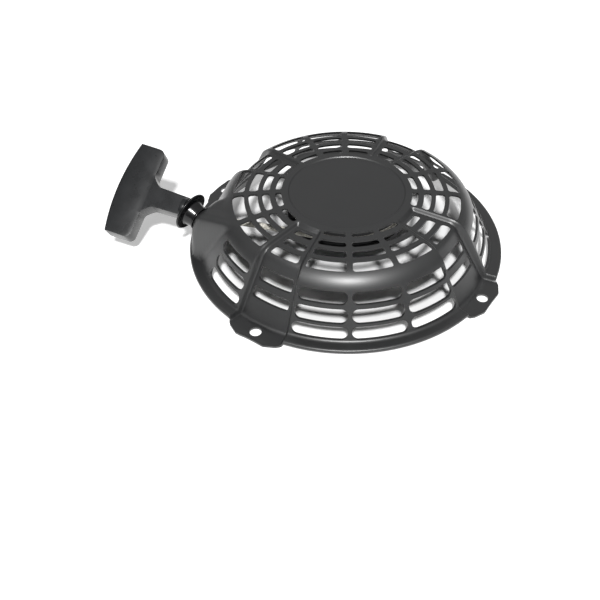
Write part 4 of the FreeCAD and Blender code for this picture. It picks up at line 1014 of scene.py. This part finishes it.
dress(black_paint, pressed_case, "reel_post")

# %% [markdown]
# ## Glossy nylon of the guide
#
# The guide is nylon straight from a polished mould: black, with sharp reflections that waver a
# little where the plastic shrank. A smooth shader alone would look like glass, so a slow, very
# shallow noise tilts the surface and changes its shine.

# %% Glossy nylon
NYLON_WAVE, NYLON_SINK = 4.0, 0.01
nylon, tree, shader, place = new_finish("glossy moulded nylon", "#0a0a0c", 0.12)
wavy = {"Vector": place, "Scale": 1 / (NYLON_WAVE * MM), "Detail": 1.0}
wave = add(tree, "TexNoise", wavy).outputs[0]
sunk = {"Height": wave, "Distance": NYLON_SINK * MM, "Strength": 0.5}
sink = add(tree, "Bump", sunk).outputs["Normal"]
glossy = {"Value": wave, "To Min": 0.18, "To Max": 0.26}
shine = add(tree, "MapRange", glossy).outputs["Result"]
connect(tree, shader, {"Roughness": shine, "Normal": sink})
dress(nylon, rope_guide)

# %% [markdown]
# ## Polypropylene of the handle
#
# The handle is polypropylene from a smooth mould: dark grey, with a waxy half gloss, a very fine
# grain, and a little paler where hands have rubbed it. A darker colour alone would lose the
# grip against the case, so the shine is kept low by the specular level and the grey comes
# from the plastic itself, in slow patches.

# %% Polypropylene
ETCH_GRAIN, ETCH_DEPTH, RUBBED_PATCH = 0.35, 0.004, 14
polypropylene, tree, shader, place = new_finish("moulded polypropylene", "#1c1d1e", 0.3)
grainy = {"Vector": place, "Scale": 1 / (ETCH_GRAIN * MM), "Detail": 1.0}
etch = add(tree, "TexNoise", grainy).outputs[0]
etched = {"Height": etch, "Distance": ETCH_DEPTH * MM, "Strength": 0.5}
pits = add(tree, "Bump", etched).outputs["Normal"]
patchy = {"Vector": place, "Scale": 1 / (RUBBED_PATCH * MM), "Detail": 3.0}
rub = add(tree, "TexNoise", patchy).outputs[0]
greys = {"Factor": rub, "A": linear("#161718"), "B": linear("#202123")}
shade = add(tree, "Mix", greys, data_type="RGBA").outputs["Result"]
waxy = {"Value": rub, **MOST_OF_NOISE, "To Min": 0.25, "To Max": 0.34}
shine = add(tree, "MapRange", waxy).outputs["Result"]
connect(tree, shader, {"Base Color": shade, "Roughness": shine, "Normal": pits})
connect(tree, shader, {"Specular IOR Level": 0.35})
dress(polypropylene, handle, plug)

# %% [markdown]
# ## Glass-filled nylon of the reel
#
# The reel is nylon with short glass fibres. They come to the skin and leave a dull, slightly
# mottled black. Real fibres are far too fine to show, so the noise is drawn coarser than they
# are, and one noise drives the bump, the colour and the shine together.

# %% Glass-filled nylon
FIBRE, FIBRE_DEPTH = 0.6, 0.01
filled_nylon, tree, shader, place = new_finish("glass-filled moulded nylon", "#151617", 0.5)
woolly = {"Vector": place, "Scale": 1 / (FIBRE * MM), "Detail": 4.0}
fibres = add(tree, "TexNoise", woolly).outputs[0]
rough = {"Height": fibres, "Distance": FIBRE_DEPTH * MM, "Strength": 0.6}
skin = add(tree, "Bump", rough).outputs["Normal"]
blacks = {"Factor": fibres, "A": linear("#101112"), "B": linear("#1d1e1f")}
shade = add(tree, "Mix", blacks, data_type="RGBA").outputs["Result"]
dull = {"Value": fibres, **MOST_OF_NOISE, "To Min": 0.42, "To Max": 0.6}
shine = add(tree, "MapRange", dull).outputs["Result"]
connect(tree, shader, {"Base Color": shade, "Roughness": shine, "Normal": skin})
dress(filled_nylon, "reel", "ratchet_guide")

# %% [markdown]
# ## Metals
#
# The small parts are four metals that differ in how they were made, and all are seen only as
# glints through the slots. Each could have a tree of its own, but the trees would be alike: a
# metallic shader, and one noise for its marks and shine. So they share one, and a table holds
# the colour, the size of the marks along X, Y and Z, their depth and the range of roughness.

# %% Metals
METALS = [
    # Zinc plate on small steel parts: pale grey with a soft, slightly uneven shine.
    (
        "zinc-plated steel",
        ("#b9bdbf", (0.8, 0.8, 0.8), 0.004, 0.26, 0.42),
        ("screw_washer", "centre_screw", "guide_clip", "pawl_pins", "rope_washer", "spring_cover"),
    ),
    # Spring steel from the rolling mill: grey-blue, with fine lines along the strip.
    (
        "rolled spring steel",
        ("#7d8286", (3.0, 3.0, 0.15), 0.003, 0.24, 0.40),
        ("recoil_spring", "friction_spring", "pawl_spring_a", "pawl_spring_b"),
    ),
    # Steel powder pressed and sintered: dull, porous and darker.
    ("sintered steel", ("#6f7072", (0.3, 0.3, 0.3), 0.012, 0.40, 0.58), ("pawl_a", "pawl_b")),
    # Bronze powder sintered and soaked in oil: a warm brown with a damp shine.
    ("oiled sintered bronze", ("#9a7442", (0.3, 0.3, 0.3), 0.010, 0.34, 0.46), ("reel_bush",)),
]
for name, (colour, grain, depth, polished, dull), pieces in METALS:
    metal, tree, shader, place = new_finish(name, colour, dull, metallic=1.0)
    scale = tuple(1 / (size * MM) for size in grain)
    spread = add(tree, "Mapping", {"Vector": place, "Scale": scale}).outputs["Vector"]
    texture = add(tree, "TexNoise", {"Vector": spread, "Scale": 1.0, "Detail": 2.0}).outputs[0]
    marked = {"Height": texture, "Distance": depth * MM, "Strength": 0.6}
    marks = add(tree, "Bump", marked).outputs["Normal"]
    uneven = {"Value": texture, **MOST_OF_NOISE, "To Min": polished, "To Max": dull}
    shine = add(tree, "MapRange", uneven).outputs["Result"]
    connect(tree, shader, {"Roughness": shine, "Normal": marks})
    dress(metal, *pieces)

# %% [markdown]
# ## Braided rope
#
# The rope is a polyester braid: off-white strands about 1.5 mm wide, with painted shade in the gaps
# between them and a soft sheen of fibre ends. Modelled strands would need millions of faces for
# a rope that is seen only through slots. A Voronoi pattern makes cells as wide as a strand,
# full in the middle, darkened at their edges by painted shade, and it needs no seam along the rope.

# %% Braided rope
STRAND, STRAND_DEPTH = 1.5, 0.25
braid, tree, shader, place = new_finish("braided polyester", "#d9d6cc", 0.75)
cells = {"Vector": place, "Scale": 1 / (STRAND * MM)}
strands = add(tree, "TexVoronoi", cells, feature="F1").outputs["Distance"]
raised = {"Height": strands, "Distance": STRAND_DEPTH * MM, "Strength": 0.8}
weave = add(tree, "Bump", raised, invert=True).outputs["Normal"]
# The darker colour toward each cell's edge is painted shade in the gaps between the strands.
strand_colours_with_painted_gap_shade = {"Factor": strands, "A": linear("#dcd9cf"), "B": linear("#9c998f")}
shade = add(tree, "Mix", strand_colours_with_painted_gap_shade, data_type="RGBA").outputs["Result"]
connect(tree, shader, {"Base Color": shade, "Normal": weave, "Sheen Weight": 0.3})
dress(braid, rope, coil, "reel_knot", "handle_knot")

# %% [markdown]
# ## Floor
#
# A sheet of white studio paper. Lit by the lamps alone it would come out grey, and stronger lamps
# would wash out the black case. So the paper also glows a little, in what the camera and
# reflections see of it and not in the light it sheds. Under the case the glow fades out, so the
# floor there is painted shade, darker than the rest of the paper by the glow it lacks.

# %% Floor
def seen(tree):
    """1 for camera, glossy and transmission rays, and 0 for the light that falls on things."""
    path = add(tree, "LightPath")
    first = {0: path.outputs["Is Camera Ray"], 1: path.outputs["Is Glossy Ray"]}
    both = add(tree, "Math", first, operation="MAXIMUM").outputs[0]
    second = {0: both, 1: path.outputs["Is Transmission Ray"]}
    return add(tree, "Math", second, operation="MAXIMUM").outputs[0]


FLOOR_GLOW, PAINTED_SHADE_RADIUS, PAINTED_SHADE_FADE_END, PAPER_FIBRE, PAPER_TOOTH = 0.45, 88.0, 104.0, 2.0, 0.01
bpy.ops.mesh.primitive_plane_add(size=6)
floor = name_piece("floor")
paper, tree, shader, place = new_finish("white studio paper", "#f4f4f4", 0.9)
pulp = {"Vector": place, "Scale": 1 / (PAPER_FIBRE * MM), "Detail": 2.0}
fibre = add(tree, "TexNoise", pulp).outputs[0]
bumps = {"Height": fibre, "Distance": PAPER_TOOTH * MM, "Strength": 0.3}
tooth = add(tree, "Bump", bumps).outputs["Normal"]
# Near the axis the paper doesn't glow, and the glow fades in further out: this paints shade on the
# floor under the case.
distance = add(tree, "VectorMath", {0: place}, operation="LENGTH").outputs["Value"]
edges = {"From Min": PAINTED_SHADE_RADIUS * MM, "From Max": PAINTED_SHADE_FADE_END * MM, "To Max": FLOOR_GLOW}
outside = add(tree, "MapRange", {"Value": distance, **edges}).outputs["Result"]
glow = add(tree, "Math", {0: seen(tree), 1: outside}, operation="MULTIPLY").outputs[0]
connect(tree, shader, {"Emission Color": (1, 1, 1, 1), "Emission Strength": glow})
connect(tree, shader, {"Normal": tooth})
dress(paper, floor)

# %% [markdown]
# ## Room and lamps
#
# Black paint shows mostly what it reflects, so the room does more for it than its own colour. A
# real studio could be wrapped round the scene, but a simple grade is enough: dim walls and a
# brighter ceiling, seen in reflections, while the light they shed is weaker. The camera itself
# sees white. The key lamp is narrow, a little to the right of the camera and higher than it,
# so shadows are short and crisp, and a weak fill at the camera's left opens the dark side.

# %% World
WALL_TONE, CEILING_TONE, ROOM_LIGHT = 0.16, 0.55, 0.14
world = bpy.data.worlds.new("studio")
bpy.context.scene.world = world
world.use_nodes = True
tree = world.node_tree
way = add(tree, "TexCoord").outputs["Generated"]
height = add(tree, "SeparateXYZ", {"Vector": way}).outputs["Z"]
tones = {"From Min": 0.0, "From Max": 0.9, "To Min": WALL_TONE, "To Max": CEILING_TONE}
room = add(tree, "MapRange", {"Value": height, **tones}).outputs["Result"]
shed = {"Value": seen(tree), "To Min": ROOM_LIGHT, "To Max": 1.0}
share = add(tree, "MapRange", shed).outputs["Result"]
lit = add(tree, "Math", {0: room, 1: share}, operation="MULTIPLY").outputs[0]
camera_ray = add(tree, "LightPath").outputs["Is Camera Ray"]
level = add(tree, "Math", {0: lit, 1: camera_ray}, operation="MAXIMUM").outputs[0]
connect(tree, tree.nodes["Background"], {"Color": (1, 1, 1, 1), "Strength": level})
print("room from", WALL_TONE, "at the walls to", CEILING_TONE, "overhead")


# %% Lamps
def toward(turn, climb):
    """The direction that lies turn radians from the front to the right, and climb upwards."""
    flat = math.cos(climb)
    return Vector((math.sin(turn) * flat, -math.cos(turn) * flat, math.sin(climb)))


def lamp(name, azimuth, elevation, power, width):
    """A far lamp, as wide as its angle in degrees. The azimuth runs from front to right."""
    light = bpy.data.lights.new(name, "SUN")
    light.energy, light.angle = power, math.radians(width)
    item = bpy.data.objects.new(name, light)
    bpy.context.scene.collection.objects.link(item)
    source = toward(math.radians(azimuth), math.radians(elevation))
    item.location = source
    item.rotation_euler = (-source).to_track_quat("-Z", "Y").to_euler()


lamp("key", azimuth=35, elevation=54, power=3.7, width=6)
lamp("fill", azimuth=-8, elevation=50, power=0.12, width=8)
print("lamps", [item.name for item in bpy.data.lights])

# %% [markdown]
# ## Camera
#
# The camera looks down on the starter from the front right, about 0.7 metres away, near enough
# that the front looks slightly larger than the back. It aims at the middle of the case. To move
# the case in the frame, the lens is shifted, because turning the camera would also tilt the
# case's outline.

# %% Camera
AIM = Vector((0, 0, 33)) * MM
VIEW_TURN, VIEW_RISE, VIEW_ROLL = math.radians(31.53), math.radians(38.255), math.radians(1.227)
VIEW_DISTANCE, LENS, SENSOR, SHIFT = 0.6873, 56.88, 36, (-0.0776, -0.1537)
away = toward(VIEW_TURN, VIEW_RISE)
camera = bpy.data.objects.new("camera", bpy.data.cameras.new("camera"))
bpy.context.scene.collection.objects.link(camera)
camera.location = AIM + away * VIEW_DISTANCE
look = (-away).to_track_quat("-Z", "Y").to_matrix() @ Matrix.Rotation(VIEW_ROLL, 3, "Z")
camera.rotation_euler = look.to_euler()
camera.data.lens, camera.data.sensor_width = LENS, SENSOR
camera.data.shift_x, camera.data.shift_y = SHIFT
bpy.context.scene.camera = camera
bpy.context.scene.view_settings.view_transform = "Standard"
print("camera", tuple(round(c, 3) for c in camera.location))
